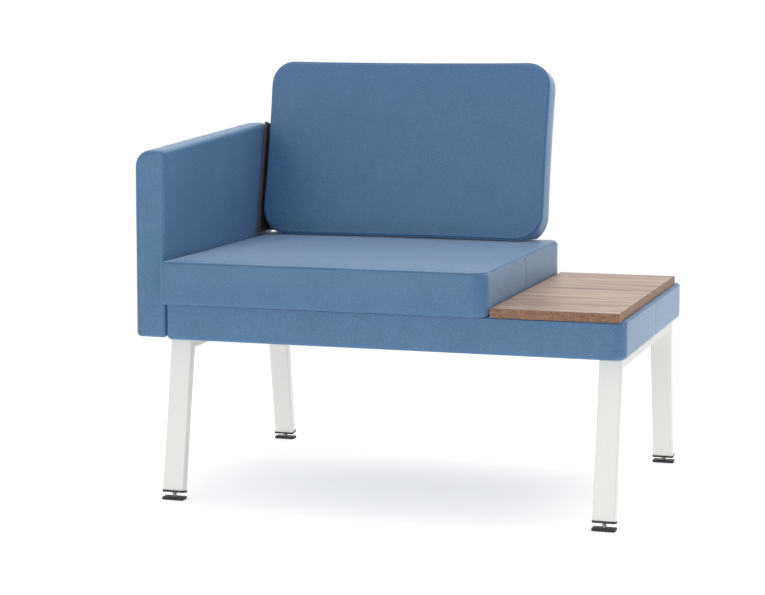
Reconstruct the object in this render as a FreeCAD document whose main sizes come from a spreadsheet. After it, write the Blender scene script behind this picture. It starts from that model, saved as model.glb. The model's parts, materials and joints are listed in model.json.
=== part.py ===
import FreeCAD, Part
import math
import os
import Sketcher

# Waiting bench module: an upholstered seat with back cushion and one armrest, and a small side table,
# on one low platform that stands on two splayed tube frames with levelling feet.
# Millimetres, +Z up. The origin is on the floor under the middle of the overall box.
# Places are measured from the platform's front left corner: x to the right, y to the back, z from the floor.

DRIVING = {
    # platform
    "base_width": 848, "base_depth": 585, "base_bottom": 294, "base_height": 68,
    "base_corner": 24, "base_lower_edge": 7, "base_upper_edge": 3,
    "cover_thick": 2.5, "cover_gap": 0.3, "hem_wide": 40,
    "side_rail_wide": 90, "front_rail_wide": 45, "cross_rail_wide": 50,
    "deck_thick": 12, "dust_cover_thick": 1.2,
    # seat cushion
    "seat_width": 610, "seat_depth": 590, "seat_overhang": 32, "seat_thick": 79.5,
    "seat_corner": 26, "seat_edge": 9, "seat_crown": 3.5, "side_pull": 2,
    "seat_board_thick": 12, "board_inset": 28, "board_play": 0.2,
    # side table
    "table_left": 612, "table_width": 228, "table_depth": 561, "table_overhang": 11,
    "table_thick": 16, "band_thick": 1,
    # armrest
    "arm_thick": 62, "arm_depth": 560, "arm_bottom": 296, "arm_front_top": 641, "arm_rise": 3,
    "arm_rear_round": 45, "arm_outer_round": 28, "arm_edge": 8,
    "arm_core_thick": 30, "arm_padding": 15,
    # back cushion
    "back_left": 10, "back_width": 584, "back_height": 357, "back_thick": 60, "back_lean": 12,
    "back_front": 461, "back_corner": 55, "back_edge": 9, "back_crown": 5, "back_board_thick": 15,
    "zip_length": 480, "zip_wide": 16, "zip_play": 0.3,
    # steel brackets behind the back cushion and in the corner to the armrest
    "bracket_plate": 5, "bracket_wide": 50, "bracket_spread": 190, "bracket_foot_height": 55,
    "bracket_arm_length": 190, "fin_thick": 6, "fin_reach": 18,
    "angle_thick": 4, "angle_wide": 50, "angle_length": 245, "angle_setback": 6,
    # leg frames
    "tube_wide": 40, "tube_deep": 20, "tube_wall": 2, "tube_round": 2.5,
    "leg_splay": 9.9, "leg_length": 280, "frame_span": 513, "left_frame_at": 15, "right_frame_at": 816,
    "tab_wide": 45, "tab_long": 60, "tab_thick": 5, "tab_spread": 150,
    # levelling feet
    "cap_flange": 4, "cap_rim": 1, "cap_round": 3, "cap_plug": 18, "plug_play": 0.25,
    "nut_radius": 7.5, "nut_height": 6.5, "stem_radius": 4, "stem_play": 0.06, "stem_length": 46,
    "neck_radius": 2.2, "neck_length": 4, "ball_radius": 4, "ball_play": 0.08, "ball_height": 2,
    "pad_wide": 42, "pad_deep": 22, "pad_top": 4.8, "pad_corner": 3, "pad_edge": 0.8,
    "sole_thick": 1.2, "sole_inset": 0.5,
    # fasteners
    "bolt_radius": 4, "bolt_head_radius": 7.4, "bolt_head_height": 5.5,
    "insert_radius": 6, "insert_length": 18, "leg_bolt_length": 30, "arm_bolt_length": 126,
    "screw_radius": 3, "screw_head_radius": 5.3, "screw_head_height": 3.3, "screw_key": 2.3,
    "small_insert_radius": 4.5, "small_insert_length": 11,
    "bracket_screw_length": 18, "seat_screw_length": 27,
    "wood_screw_radius": 2.2, "wood_screw_head_radius": 4.3, "wood_screw_head_height": 2.6,
    "table_screw_length": 26, "arm_screw_length": 40,
    "hole_play": 0.3, "thread_play": 0.05,
}


class Sizes:
    """The driving dimensions as plain attributes, for places and for lofted forms."""

    def __init__(self, values):
        self.__dict__.update(values)


d = Sizes(DRIVING)
V = FreeCAD.Vector
X_AXIS = V(1, 0, 0)
Y_AXIS = V(0, 1, 0)
Z_AXIS = V(0, 0, 1)

# Cutting solids run this far past the piece that they cut
OVERRUN = 20
# Two coordinates closer than this are the same
SAME = 1e-6

doc = FreeCAD.newDocument("waiting_bench")
sheet = doc.addObject("Spreadsheet::Sheet", "dims")
for row, (alias, value) in enumerate(DRIVING.items(), start=1):
    sheet.set(f"A{row}", alias)
    sheet.set(f"B{row}", str(value))
    sheet.setAlias(f"B{row}", alias)
doc.recompute()

# Levels and places that follow from the driving dimensions
base_top = d.base_bottom + d.base_height
seat_top = base_top + d.seat_thick + d.seat_crown
skin = d.cover_thick + d.cover_gap
rail_bottom = d.base_bottom + skin
deck_bottom = base_top - skin - d.deck_thick
middle = d.base_depth / 2
splay = math.radians(d.leg_splay)
base_left = (d.arm_thick - d.base_width) / 2


def leg_axis_point(along):
    """Depth and height of a point on the front leg's centre line, measured from the frame's top corner."""
    inward = d.tube_deep / 2
    depth = middle - d.frame_span / 2 - along * math.sin(splay) + inward * math.cos(splay)
    height = d.base_bottom - along * math.cos(splay) - inward * math.sin(splay)
    return depth, height


leg_end_depth, leg_end_height = leg_axis_point(d.leg_length)
to_ball = d.leg_length + (leg_end_height - d.ball_height) / math.cos(splay)
ball_depth = leg_axis_point(to_ball)[0]
rear_reach = max(d.pad_deep / 2 - ball_depth, d.bracket_plate + d.fin_reach)
base_front = (d.seat_overhang - rear_reach - d.base_depth) / 2

nodes = []


def place(x, y, z):
    """A point of the bench, measured from the platform's front left corner and the floor."""
    return V(base_left + x, base_front + y, z)


def placement(x, y, z, axis=X_AXIS, degrees=0.0):
    return FreeCAD.Placement(place(x, y, z), FreeCAD.Rotation(axis, degrees))


def bind(item, **sizes):
    for name, text in sizes.items():
        item.setExpression(name, text)


def keep(label, item):
    """Name a finished sub-part and put it on the list that is written out."""
    item.Label = label
    nodes.append(item)
    return item


# Part primitives and booleans

def box(name, length, width, height, corner):
    item = doc.addObject("Part::Box", name)
    bind(item, Length=length, Width=width, Height=height)
    item.Placement = FreeCAD.Placement(corner, FreeCAD.Rotation())
    return item


def rod(name, radius, length, start, axis):
    item = doc.addObject("Part::Cylinder", name)
    bind(item, Radius=radius, Height=length)
    item.Placement = FreeCAD.Placement(start, FreeCAD.Rotation(Z_AXIS, axis))
    return item


def hexagon(name, radius, height, start, axis):
    item = doc.addObject("Part::Prism", name)
    item.Polygon = 6
    bind(item, Circumradius=radius, Height=height)
    item.Placement = FreeCAD.Placement(start, FreeCAD.Rotation(Z_AXIS, axis))
    return item


def fuse(name, *items):
    joined = doc.addObject("Part::MultiFuse", name)
    joined.Shapes = list(items)
    return joined


def cut(name, item, *tools):
    for tool in tools:
        rest = doc.addObject("Part::Cut", name)
        rest.Base = item
        rest.Tool = tool
        item = rest
    return item


def group(name, items):
    gathered = doc.addObject("Part::Compound", name)
    gathered.Links = list(items)
    return gathered


def holes(name, radius, length, starts, axis):
    return group(name, [rod(f"{name}_rod", radius, length, start, axis) for start in starts])


# Bodies drawn as a sketch and padded

def origin_plane(body, role):
    return next(item for item in body.Origin.OriginFeatures if item.Role == role)


START_RADIUS = 100
START_TURN = 0.3


def outline(body, role, corners):
    """A closed sketch of straight lines; each corner's two distances from the origin are bound to the sheet.

    The lines start as a slightly turned regular polygon, which the bound distances then pull into shape.
    """
    sketch = body.newObject("Sketcher::SketchObject", f"{body.Name}_sketch")
    sketch.AttachmentSupport = (origin_plane(body, role), [""])
    sketch.MapMode = "FlatFace"
    count = len(corners)
    turns = [2 * math.pi * (index + START_TURN) / count for index in range(count)]
    start = [V(START_RADIUS * math.cos(turn), START_RADIUS * math.sin(turn), 0) for turn in turns]
    for index in range(count):
        sketch.addGeometry(Part.LineSegment(start[index], start[(index + 1) % count]), False)
    for index in range(count):
        sketch.addConstraint(Sketcher.Constraint("Coincident", index, 2, (index + 1) % count, 1))
    for index, texts in enumerate(corners):
        values = (start[index].x, start[index].y)
        for kind, text, value in zip(("DistanceX", "DistanceY"), texts, values):
            number = sketch.addConstraint(Sketcher.Constraint(kind, -1, 1, index, 1, value))
            sketch.setExpression(f"Constraints[{number}]", text)
    return sketch


def feature(body, kind, sketch, length, both_ways=False):
    item = body.newObject(f"PartDesign::{kind}", f"{body.Name}_{kind}")
    item.Profile = sketch
    bind(item, Length=length)
    if both_ways:
        item.SideType = "Symmetric"
    return item


def round_edges(body, wanted, radius):
    """Fillet the edges of the body so far for which wanted(edge) is true."""
    doc.recompute()
    base = body.Tip
    names = [f"Edge{number}" for number, edge in enumerate(base.Shape.Edges, start=1) if wanted(edge)]
    item = body.newObject("PartDesign::Fillet", f"{body.Name}_fillet")
    item.Base = (base, names)
    bind(item, Radius=radius)
    return item


def edge_ends(edge, axis):
    return [getattr(vertex.Point, axis) for vertex in edge.Vertexes]


def runs_along(edge, axis):
    others = [name for name in "xyz" if name != axis]
    return all(max(edge_ends(edge, name)) - min(edge_ends(edge, name)) < SAME for name in others)


def lies_at(edge, axis, value):
    return all(abs(end - value) < SAME for end in edge_ends(edge, axis))


def rounded_block(name, length, width, height, corner, lower=None, upper=None, keep_rear_square=False):
    """A block with round upright corners, and round lower and upper edges where a radius is given."""
    body = doc.addObject("PartDesign::Body", name)
    sketch = outline(body, "XY_Plane", [("0", "0"), (length, "0"), (length, width), ("0", width)])
    feature(body, "Pad", sketch, height)

    def upright(edge):
        return runs_along(edge, "z") and not (keep_rear_square and edge_ends(edge, "y")[0] > SAME)

    round_edges(body, upright, corner)
    if lower:
        round_edges(body, lambda edge: lies_at(edge, "z", 0), lower)
    if upper:
        top = body.Shape.BoundBox.ZMax
        round_edges(body, lambda edge: lies_at(edge, "z", top), upper)
    return body


# Fasteners: start is the bearing face under the head, axis points from the head to the tip

KEY_DEPTH = 0.7


def bolt(name, start, axis, length):
    head = hexagon(f"{name}_head", "dims.bolt_head_radius", "dims.bolt_head_height",
                   start - axis * d.bolt_head_height, axis)
    return fuse(name, head, rod(f"{name}_shank", "dims.bolt_radius", length, start, axis))


def screw(name, start, axis, length):
    outside = start - axis * d.screw_head_height
    head = rod(f"{name}_head", "dims.screw_head_radius", "dims.screw_head_height", outside, axis)
    shank = rod(f"{name}_shank", "dims.screw_radius", length, start, axis)
    key = hexagon(f"{name}_key", "dims.screw_key", f"dims.screw_head_height * {KEY_DEPTH}", outside, axis)
    return cut(name, fuse(f"{name}_blank", head, shank), key)


def wood_screw(name, start, axis, length):
    outside = start - axis * d.wood_screw_head_height
    head = rod(f"{name}_head", "dims.wood_screw_head_radius", "dims.wood_screw_head_height", outside, axis)
    return fuse(name, head, rod(f"{name}_shank", "dims.wood_screw_radius", length, start, axis))


def sleeve(name, outer, inner, length, start, axis):
    return cut(name, rod(f"{name}_body", outer, length, start, axis),
               rod(f"{name}_bore", inner, length, start, axis))


def large_insert(name, start, axis):
    return sleeve(name, "dims.insert_radius", "dims.bolt_radius + dims.thread_play",
                  "dims.insert_length", start, axis)


def small_insert(name, start, axis):
    return sleeve(name, "dims.small_insert_radius", "dims.screw_radius + dims.thread_play",
                  "dims.small_insert_length", start, axis)


# Places of the fasteners
TAB_BOLT_STEP = 18
TAB_BOLT_OFFSET = 2
tab_middles = [middle - d.tab_spread, middle + d.tab_spread]
left_tab_x = d.left_frame_at + d.tube_wide / 2
right_tab_x = d.right_frame_at - d.tube_wide / 2 - d.tab_wide
tab_bolt_x = {"left": left_tab_x + d.tab_wide / 2 + TAB_BOLT_OFFSET,
              "right": right_tab_x + d.tab_wide / 2 - TAB_BOLT_OFFSET}
tab_bolt_y = [y + step for y in tab_middles for step in (-TAB_BOLT_STEP, TAB_BOLT_STEP)]

ARM_BOLT_HEIGHT = 323
ARM_BOLT_END = 62
arm_bolt_y = [ARM_BOLT_END, middle, d.base_depth - ARM_BOLT_END]
SEAT_SCREW_X = (150, 460)
SEAT_SCREW_Y = (120, 460)
TABLE_SCREW_X = (670, 735)
TABLE_SCREW_Y = (60, 500)
BRACKET_SCREW_SIDE = 16
BRACKET_SCREW_RISE = (-110, 25)
BRACKET_FOOT_BOTTOM = 302
ANGLE_SCREW_RISE = (-120, 20)
ANGLE_SCREW_SIDE = 0.65
ANGLE_DRILL_START = 8
ANGLE_DROP = 20
ANGLE_SEAT_GAP = 1.5
BACK_DRILL_DEPTH = 18
TIP_ROOM = 0.5

# The back cushion stands in a leaning frame: x across, y up the slope, z out of its front face.
# The frame's origin is the middle of the cushion's rear face.
back_turn = FreeCAD.Rotation(X_AXIS, 90 - d.back_lean)
back_foot = place(d.back_left + d.back_width / 2, d.back_front, seat_top)
back_frame = FreeCAD.Placement(
    back_foot - back_turn.multVec(V(0, -d.back_height / 2, d.back_thick)), back_turn)
back_normal = back_turn.multVec(Z_AXIS)
bracket_x = [d.back_left + d.back_width / 2 + side * d.bracket_spread for side in (-1, 1)]


def on_back(x, rise, out):
    """A point on the leaning cushion; x is still measured from the platform's left end."""
    return back_frame.multVec(V(x - d.back_left - d.back_width / 2, rise, out))


bracket_lower_points = [(x + side, BRACKET_FOOT_BOTTOM + d.bracket_foot_height / 2)
                        for x in bracket_x for side in (-BRACKET_SCREW_SIDE, BRACKET_SCREW_SIDE)]
bracket_upper_points = [(x + side, rise) for x in bracket_x
                        for side in (-BRACKET_SCREW_SIDE, BRACKET_SCREW_SIDE) for rise in BRACKET_SCREW_RISE]
angle_rear_points = [(ANGLE_SCREW_SIDE * d.angle_wide, rise) for rise in ANGLE_SCREW_RISE]
angle_side_middle = (d.back_thick - d.angle_setback) / 2
seat_screw_points = [(x, y) for x in SEAT_SCREW_X for y in SEAT_SCREW_Y]
table_screw_points = [(x, y) for x in TABLE_SCREW_X for y in TABLE_SCREW_Y]

CLEAR_BOLT = "dims.bolt_radius + dims.hole_play"
CLEAR_SCREW = "dims.screw_radius + dims.hole_play"
CLEAR_WOOD_SCREW = "dims.wood_screw_radius + dims.thread_play"
INSERT_HOLE = "dims.insert_radius + dims.thread_play"
SMALL_INSERT_HOLE = "dims.small_insert_radius + dims.thread_play"

arm_bolt_ways = holes("arm_bolt_ways", CLEAR_BOLT, f"dims.side_rail_wide + {OVERRUN} + dims.arm_thick / 2",
                      [place(d.side_rail_wide + OVERRUN, y, ARM_BOLT_HEIGHT) for y in arm_bolt_y], -X_AXIS)
seat_screw_ways = holes("seat_screw_ways", CLEAR_SCREW, "dims.base_height",
                        [place(x, y, deck_bottom - OVERRUN) for x, y in seat_screw_points], Z_AXIS)
table_screw_ways = holes("table_screw_ways", CLEAR_WOOD_SCREW, f"dims.table_screw_length + {TIP_ROOM}",
                         [place(x, y, deck_bottom) for x, y in table_screw_points], Z_AXIS)
bracket_lower_ways = holes("bracket_lower_ways", CLEAR_SCREW, "dims.front_rail_wide",
                           [place(x, d.base_depth + OVERRUN, z) for x, z in bracket_lower_points], -Y_AXIS)
back_rear_points = [on_back(x, rise, -OVERRUN) for x, rise in bracket_upper_points + angle_rear_points]
back_screw_ways = holes("back_screw_ways", CLEAR_SCREW, f"{OVERRUN + BACK_DRILL_DEPTH}", back_rear_points,
                        back_normal)
angle_arm_starts = [on_back(0, rise, angle_side_middle) for rise in ANGLE_SCREW_RISE]
arm_screw_ways = holes("arm_screw_ways", CLEAR_WOOD_SCREW,
                       f"dims.arm_screw_length + {ANGLE_DRILL_START + TIP_ROOM}",
                       [start + X_AXIS * ANGLE_DRILL_START for start in angle_arm_starts], -X_AXIS)


# Platform

INNER_WIDTH = "dims.base_width - 2 * (dims.cover_thick + dims.cover_gap)"
INNER_DEPTH = "dims.base_depth - 2 * (dims.cover_thick + dims.cover_gap)"
INNER_CORNER = "dims.base_corner - dims.cover_thick - dims.cover_gap"
RAIL_HEIGHT = "dims.base_height - 2 * (dims.cover_thick + dims.cover_gap) - dims.deck_thick"


def end_rail(label, depth, turn):
    """Front or rear rail with its two outer corners rounded to the cover's inside."""
    rail = rounded_block(label, INNER_WIDTH, "dims.front_rail_wide", RAIL_HEIGHT, INNER_CORNER,
                         keep_rear_square=True)
    rail.Placement = placement(skin if turn == 0 else d.base_width - skin, depth, rail_bottom, Z_AXIS, turn)
    return rail


def side_rail(name, x, insert_x):
    length = f"{INNER_DEPTH} - 2 * dims.front_rail_wide"
    rail = box(name, "dims.side_rail_wide", length, RAIL_HEIGHT,
               place(x, skin + d.front_rail_wide, rail_bottom))
    return cut(name, rail, holes(f"{name}_insert_holes", INSERT_HOLE, "dims.leg_bolt_length",
                                 [place(insert_x, y, rail_bottom) for y in tab_bolt_y], Z_AXIS))


keep("base_front_rail", end_rail("front_rail", skin, 0))
rear_insert_holes = holes("rear_insert_holes", SMALL_INSERT_HOLE, "dims.bracket_screw_length",
                          [place(x, d.base_depth - skin, z) for x, z in bracket_lower_points], -Y_AXIS)
keep("base_rear_rail", cut("rear_rail", end_rail("rear_rail_blank", d.base_depth - skin, 180),
                           rear_insert_holes))
keep("base_left_rail", cut("left_rail", side_rail("left_rail_blank", skin, tab_bolt_x["left"]),
                           arm_bolt_ways))
keep("base_right_rail", side_rail("right_rail", d.base_width - skin - d.side_rail_wide, tab_bolt_x["right"]))
keep("base_cross_rail", box("cross_rail", "dims.cross_rail_wide", f"{INNER_DEPTH} - 2 * dims.front_rail_wide",
                            RAIL_HEIGHT, place(d.seat_width - d.cross_rail_wide / 2,
                                               skin + d.front_rail_wide, rail_bottom)))

deck = rounded_block("deck", INNER_WIDTH, INNER_DEPTH, "dims.deck_thick", INNER_CORNER)
deck.Placement = placement(skin, skin, deck_bottom)
keep("base_deck", cut("deck_drilled", deck, seat_screw_ways, table_screw_ways))

cover_outer = rounded_block("base_cover_outer", "dims.base_width", "dims.base_depth", "dims.base_height",
                            "dims.base_corner", "dims.base_lower_edge", "dims.base_upper_edge")
cover_outer.Placement = placement(0, 0, d.base_bottom)
cover_inner = rounded_block("base_cover_inner", "dims.base_width - 2 * dims.cover_thick",
                            "dims.base_depth - 2 * dims.cover_thick",
                            "dims.base_height - 2 * dims.cover_thick", "dims.base_corner - dims.cover_thick")
cover_inner.Placement = placement(d.cover_thick, d.cover_thick, d.base_bottom + d.cover_thick)
cover_opening = box("base_cover_opening", "dims.base_width - 2 * dims.hem_wide",
                    "dims.base_depth - 2 * dims.hem_wide", "2 * dims.cover_thick",
                    place(d.hem_wide, d.hem_wide, d.base_bottom - d.cover_thick / 2))
keep("base_cover", cut("base_cover_shell", cover_outer, cover_inner, cover_opening, arm_bolt_ways,
                       bracket_lower_ways, seat_screw_ways, table_screw_ways))

DUST_MARGIN = 1
dust_sheet = box("dust_sheet", f"dims.base_width - 2 * (dims.hem_wide + {DUST_MARGIN})",
                 f"dims.base_depth - 2 * (dims.hem_wide + {DUST_MARGIN})", "dims.dust_cover_thick",
                 place(d.hem_wide + DUST_MARGIN, d.hem_wide + DUST_MARGIN, d.base_bottom))
leg_bolt_starts = [place(x, y, d.base_bottom - d.tab_thick) for x in tab_bolt_x.values() for y in tab_bolt_y]
leg_bolt_ways = holes("leg_bolt_ways", CLEAR_BOLT, "dims.leg_bolt_length",
                      [start - Z_AXIS for start in leg_bolt_starts], Z_AXIS)
keep("base_dust_cover", cut("dust_cover", dust_sheet, leg_bolt_ways))


# Seat and back cushions: lofts through outlines of drawn-in sides and round corners

def cushion_outline(half_width, half_depth, corner, pull, height):
    """Four sides that bow in by pull at their middle, joined by four corner arcs."""
    arcs = []
    for quarter in range(4):
        first = math.radians(90 * quarter)
        directions = [V(math.cos(first + turn), math.sin(first + turn), 0)
                      for turn in (0, math.pi / 4, math.pi / 2)]
        centre = V(math.copysign(half_width - corner, directions[1].x),
                   math.copysign(half_depth - corner, directions[1].y), height)
        arcs.append([centre + direction * corner for direction in directions])
    edges = []
    for quarter in range(4):
        ending, following = arcs[quarter][2], arcs[(quarter + 1) % 4][0]
        outward = V(-math.sin(math.radians(90 * quarter)), math.cos(math.radians(90 * quarter)), 0)
        edges.append(Part.Arc(*arcs[quarter]).toShape())
        edges.append(Part.Arc(ending, (ending + following) / 2 - outward * pull, following).toShape())
    return Part.Wire(edges)


CROWN_STEPS = 4
CROWN_REACH = 0.36
LEAST_CORNER = 8


def cushion_form(width, depth, thick, corner, edge, crown, shrink):
    """A crowned cushion standing on z = 0, drawn smaller by shrink on every side."""
    low, high = shrink, thick - shrink
    radius = edge - shrink
    eased = radius * (1 - math.sqrt(0.5))
    levels = [(radius, low), (eased, low + eased), (0, low + radius)]
    levels += [(0, high - radius), (eased, high - eased), (radius, high)]
    reach = CROWN_REACH * min(width, depth)
    for step in range(1, CROWN_STEPS + 1):
        part = step / CROWN_STEPS
        levels.append((radius + part * reach, high + crown * (1 - (1 - part) ** 2)))
    wires = [cushion_outline(width / 2 - shrink - inset, depth / 2 - shrink - inset,
                             max(corner - shrink - inset, LEAST_CORNER), d.side_pull, height)
             for inset, height in levels]
    return Part.makeLoft(wires, True, True)


def formed(name, shape, where):
    item = doc.addObject("Part::Feature", name)
    item.Shape = shape
    item.Placement = where
    return item


def seat_form(name, shrink):
    shape = cushion_form(d.seat_width, d.seat_depth, d.seat_thick, d.seat_corner, d.seat_edge,
                         d.seat_crown, shrink)
    return formed(name, shape, placement(d.seat_width / 2, d.seat_depth / 2 - d.seat_overhang, base_top))


seat_board_size = ("dims.seat_width - 2 * dims.board_inset", "dims.seat_depth - 2 * dims.board_inset")
seat_board_corner = (d.board_inset, d.board_inset - d.seat_overhang)
seat_board = box("seat_board_blank", *seat_board_size, "dims.seat_board_thick",
                 place(*seat_board_corner, base_top + skin))
seat_insert_starts = [place(x, y, base_top + skin) for x, y in seat_screw_points]
keep("seat_board", cut("seat_board_drilled", seat_board,
                       holes("seat_insert_holes", SMALL_INSERT_HOLE, "dims.seat_board_thick",
                             seat_insert_starts, Z_AXIS)))
board_pocket = box("seat_board_pocket", f"{seat_board_size[0]} + 2 * dims.board_play",
                   f"{seat_board_size[1]} + 2 * dims.board_play",
                   f"dims.seat_board_thick + {OVERRUN} + dims.board_play",
                   place(seat_board_corner[0] - d.board_play, seat_board_corner[1] - d.board_play,
                         base_top + skin - OVERRUN))
keep("seat_foam", cut("seat_foam_cut", seat_form("seat_foam_form", skin), board_pocket))
SEAT_HEM = 50
seat_opening = box("seat_cover_opening", f"dims.seat_width - 2 * {SEAT_HEM}",
                   f"dims.seat_depth - 2 * {SEAT_HEM}", "2 * dims.cover_thick",
                   place(SEAT_HEM, SEAT_HEM - d.seat_overhang, base_top - d.cover_thick / 2))
keep("seat_cover", cut("seat_cover_cut", seat_form("seat_cover_outer", 0),
                       seat_form("seat_cover_inner", d.cover_thick), seat_opening))
keep("seat_screws", group("seat_screw_group", [screw("seat_screw", place(x, y, deck_bottom), Z_AXIS,
                                                     "dims.seat_screw_length")
                                               for x, y in seat_screw_points]))
keep("seat_inserts", group("seat_insert_group", [small_insert("seat_insert", start, Z_AXIS)
                                                 for start in seat_insert_starts]))


def back_form(name, shrink, floor):
    """The leaning cushion, cut level where it sits on the seat."""
    shape = cushion_form(d.back_width, d.back_height, d.back_thick, d.back_corner, d.back_edge,
                         d.back_crown, shrink)
    form = formed(f"{name}_form", shape, back_frame)
    below = box(f"{name}_below", f"dims.back_width + 2 * {OVERRUN}", "4 * dims.back_thick", "dims.back_thick",
                place(d.back_left - OVERRUN, d.back_front - 2 * d.back_thick, floor - d.back_thick))
    return cut(name, form, below)


back_floor = seat_top + d.cover_gap
BACK_BOARD_SIDE = 30
BACK_BOARD_LOW = 45


def back_board_block(name, grow, depth):
    """The board, or with grow its pocket in the foam, behind the cushion's rear face by depth."""
    item = doc.addObject("Part::Box", name)
    bind(item, Length=f"dims.back_width - 2 * {BACK_BOARD_SIDE} + 2 * {grow}",
         Width=f"dims.back_height - {BACK_BOARD_SIDE} - {BACK_BOARD_LOW} + 2 * {grow}",
         Height=f"dims.back_board_thick + {grow} + {depth}")
    corner = V(BACK_BOARD_SIDE - d.back_width / 2 - grow, BACK_BOARD_LOW - d.back_height / 2 - grow,
               skin - depth)
    item.Placement = back_frame.multiply(FreeCAD.Placement(corner, FreeCAD.Rotation()))
    return item


back_insert_starts = [point + back_normal * (OVERRUN + skin) for point in back_rear_points]
back_insert_holes = holes("back_insert_holes", SMALL_INSERT_HOLE, f"dims.back_board_thick + {TIP_ROOM}",
                          back_insert_starts, back_normal)
keep("back_board", cut("back_board_drilled", back_board_block("back_board_blank", 0, 0), back_insert_holes))
keep("back_foam", cut("back_foam_cut", back_form("back_foam_form", skin, back_floor + skin),
                      back_board_block("back_board_pocket", d.board_play, OVERRUN), back_insert_holes))

zip_y = d.back_front + d.back_thick / 2
zip_slot = box("back_zip_slot", "dims.zip_length", "dims.zip_wide", "2 * dims.cover_thick",
               place(d.back_left + (d.back_width - d.zip_length) / 2, zip_y - d.zip_wide / 2,
                     back_floor - d.cover_thick / 2))
keep("back_cover", cut("back_cover_cut", back_form("back_cover_outer", 0, back_floor),
                       back_form("back_cover_inner", d.cover_thick, back_floor + d.cover_thick),
                       zip_slot, back_screw_ways))
keep("back_zip", box("zip_strip", "dims.zip_length - 2 * dims.zip_play", "dims.zip_wide - 2 * dims.zip_play",
                     "dims.cover_thick", place(d.back_left + (d.back_width - d.zip_length) / 2 + d.zip_play,
                                               zip_y - d.zip_wide / 2 + d.zip_play, back_floor)))


# Side table

BAND = "dims.band_thick"
table_front = -d.table_overhang
table_panel = box("table_panel_blank", f"dims.table_width - 2 * {BAND}", f"dims.table_depth - 2 * {BAND}",
                  "dims.table_thick",
                  place(d.table_left + d.band_thick, table_front + d.band_thick, base_top))
keep("table_panel", cut("table_panel_drilled", table_panel, table_screw_ways))
far_band_y = table_front + d.table_depth - d.band_thick
far_band_x = d.table_left + d.table_width - d.band_thick
keep("table_end_bands", group("end_bands", [box("end_band", "dims.table_width", BAND, "dims.table_thick",
                                                place(d.table_left, y, base_top))
                                            for y in (table_front, far_band_y)]))
side_band_places = [place(x, table_front + d.band_thick, base_top) for x in (d.table_left, far_band_x)]
keep("table_side_bands", group("side_bands", [box("side_band", BAND, f"dims.table_depth - 2 * {BAND}",
                                                  "dims.table_thick", where) for where in side_band_places]))
keep("table_screws", group("table_screw_group", [wood_screw("table_screw", place(x, y, deck_bottom), Z_AXIS,
                                                            "dims.table_screw_length")
                                                 for x, y in table_screw_points]))


# Armrest: a padded panel whose top rises to the back

ARM_TOP_ZONE = 60
ARM_HOLE_FLOOR = 4


def on_arm_top(edge):
    return min(edge_ends(edge, "z")) > d.arm_front_top - ARM_TOP_ZONE


def arm_body(name, shrink, side_shrink, drop=0.0):
    """Side outline padded across, round at its rear top; shrink draws in the outline, side_shrink the faces."""
    body = doc.addObject("PartDesign::Body", name)
    rear = f"dims.arm_depth - {shrink}"
    top = f"dims.arm_front_top - {shrink}"
    bottom = f"dims.arm_bottom + {shrink} - {drop}"
    sketch = outline(body, "YZ_Plane", [(f"{shrink}", bottom), (rear, bottom),
                                        (rear, f"{top} + dims.arm_depth * tan(dims.arm_rise)"),
                                        (f"{shrink}", top)])
    feature(body, "Pad", sketch, f"dims.arm_thick - 2 * {side_shrink}")

    def rear_top(edge):
        return runs_along(edge, "x") and lies_at(edge, "y", d.arm_depth - shrink) and on_arm_top(edge)

    round_edges(body, rear_top, f"dims.arm_rear_round - {shrink}")
    body.Placement = placement(side_shrink - d.arm_thick, 0, 0)
    return body


def arm_form(name, shrink):
    """The padded outside of the armrest, drawn smaller by shrink on every side."""
    body = arm_body(name, shrink, shrink)
    thick = d.arm_thick - 2 * shrink

    def outer_top(edge):
        rising = edge_ends(edge, "z")[0] != edge_ends(edge, "z")[-1]
        return lies_at(edge, "x", 0) and rising and on_arm_top(edge)

    round_edges(body, outer_top, f"dims.arm_outer_round - {shrink}")
    round_edges(body, lambda edge: lies_at(edge, "x", thick) or lies_at(edge, "y", shrink),
                f"dims.arm_edge - {shrink}")
    return body


core_side = (d.arm_thick - d.arm_core_thick) / 2
arm_insert_starts = [place(-core_side, y, ARM_BOLT_HEIGHT) for y in arm_bolt_y]
arm_insert_holes = holes("arm_insert_holes", INSERT_HOLE, f"dims.arm_core_thick - {ARM_HOLE_FLOOR}",
                         arm_insert_starts, -X_AXIS)
core_drop = d.arm_padding - skin
keep("arm_core_board", cut("arm_core_drilled", arm_body("arm_core", d.arm_padding, core_side, core_drop),
                           arm_insert_holes, arm_screw_ways))
core_pocket = arm_body("arm_core_pocket", d.arm_padding - d.board_play, core_side - d.board_play,
                       core_drop + OVERRUN)
keep("arm_foam", cut("arm_foam_cut", arm_form("arm_foam_form", skin), core_pocket, arm_bolt_ways,
                     arm_screw_ways))
arm_opening = box("arm_cover_opening", "dims.arm_core_thick", "dims.arm_depth - 2 * dims.hem_wide",
                  "2 * dims.cover_thick", place(-core_side - d.arm_core_thick, d.hem_wide,
                                                d.arm_bottom - d.cover_thick / 2))
keep("arm_cover", cut("arm_cover_cut", arm_form("arm_cover_outer", 0),
                      arm_form("arm_cover_inner", d.cover_thick), arm_opening, arm_bolt_ways, arm_screw_ways))
arm_bolt_starts = [place(skin + d.side_rail_wide, y, ARM_BOLT_HEIGHT) for y in arm_bolt_y]
keep("arm_bolts", group("arm_bolt_group", [bolt("arm_bolt", start, -X_AXIS, "dims.arm_bolt_length")
                                           for start in arm_bolt_starts]))
keep("arm_inserts", group("arm_insert_group", [large_insert("arm_insert", start, -X_AXIS)
                                               for start in arm_insert_starts]))


# Steel brackets that hold the back cushion

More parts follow.
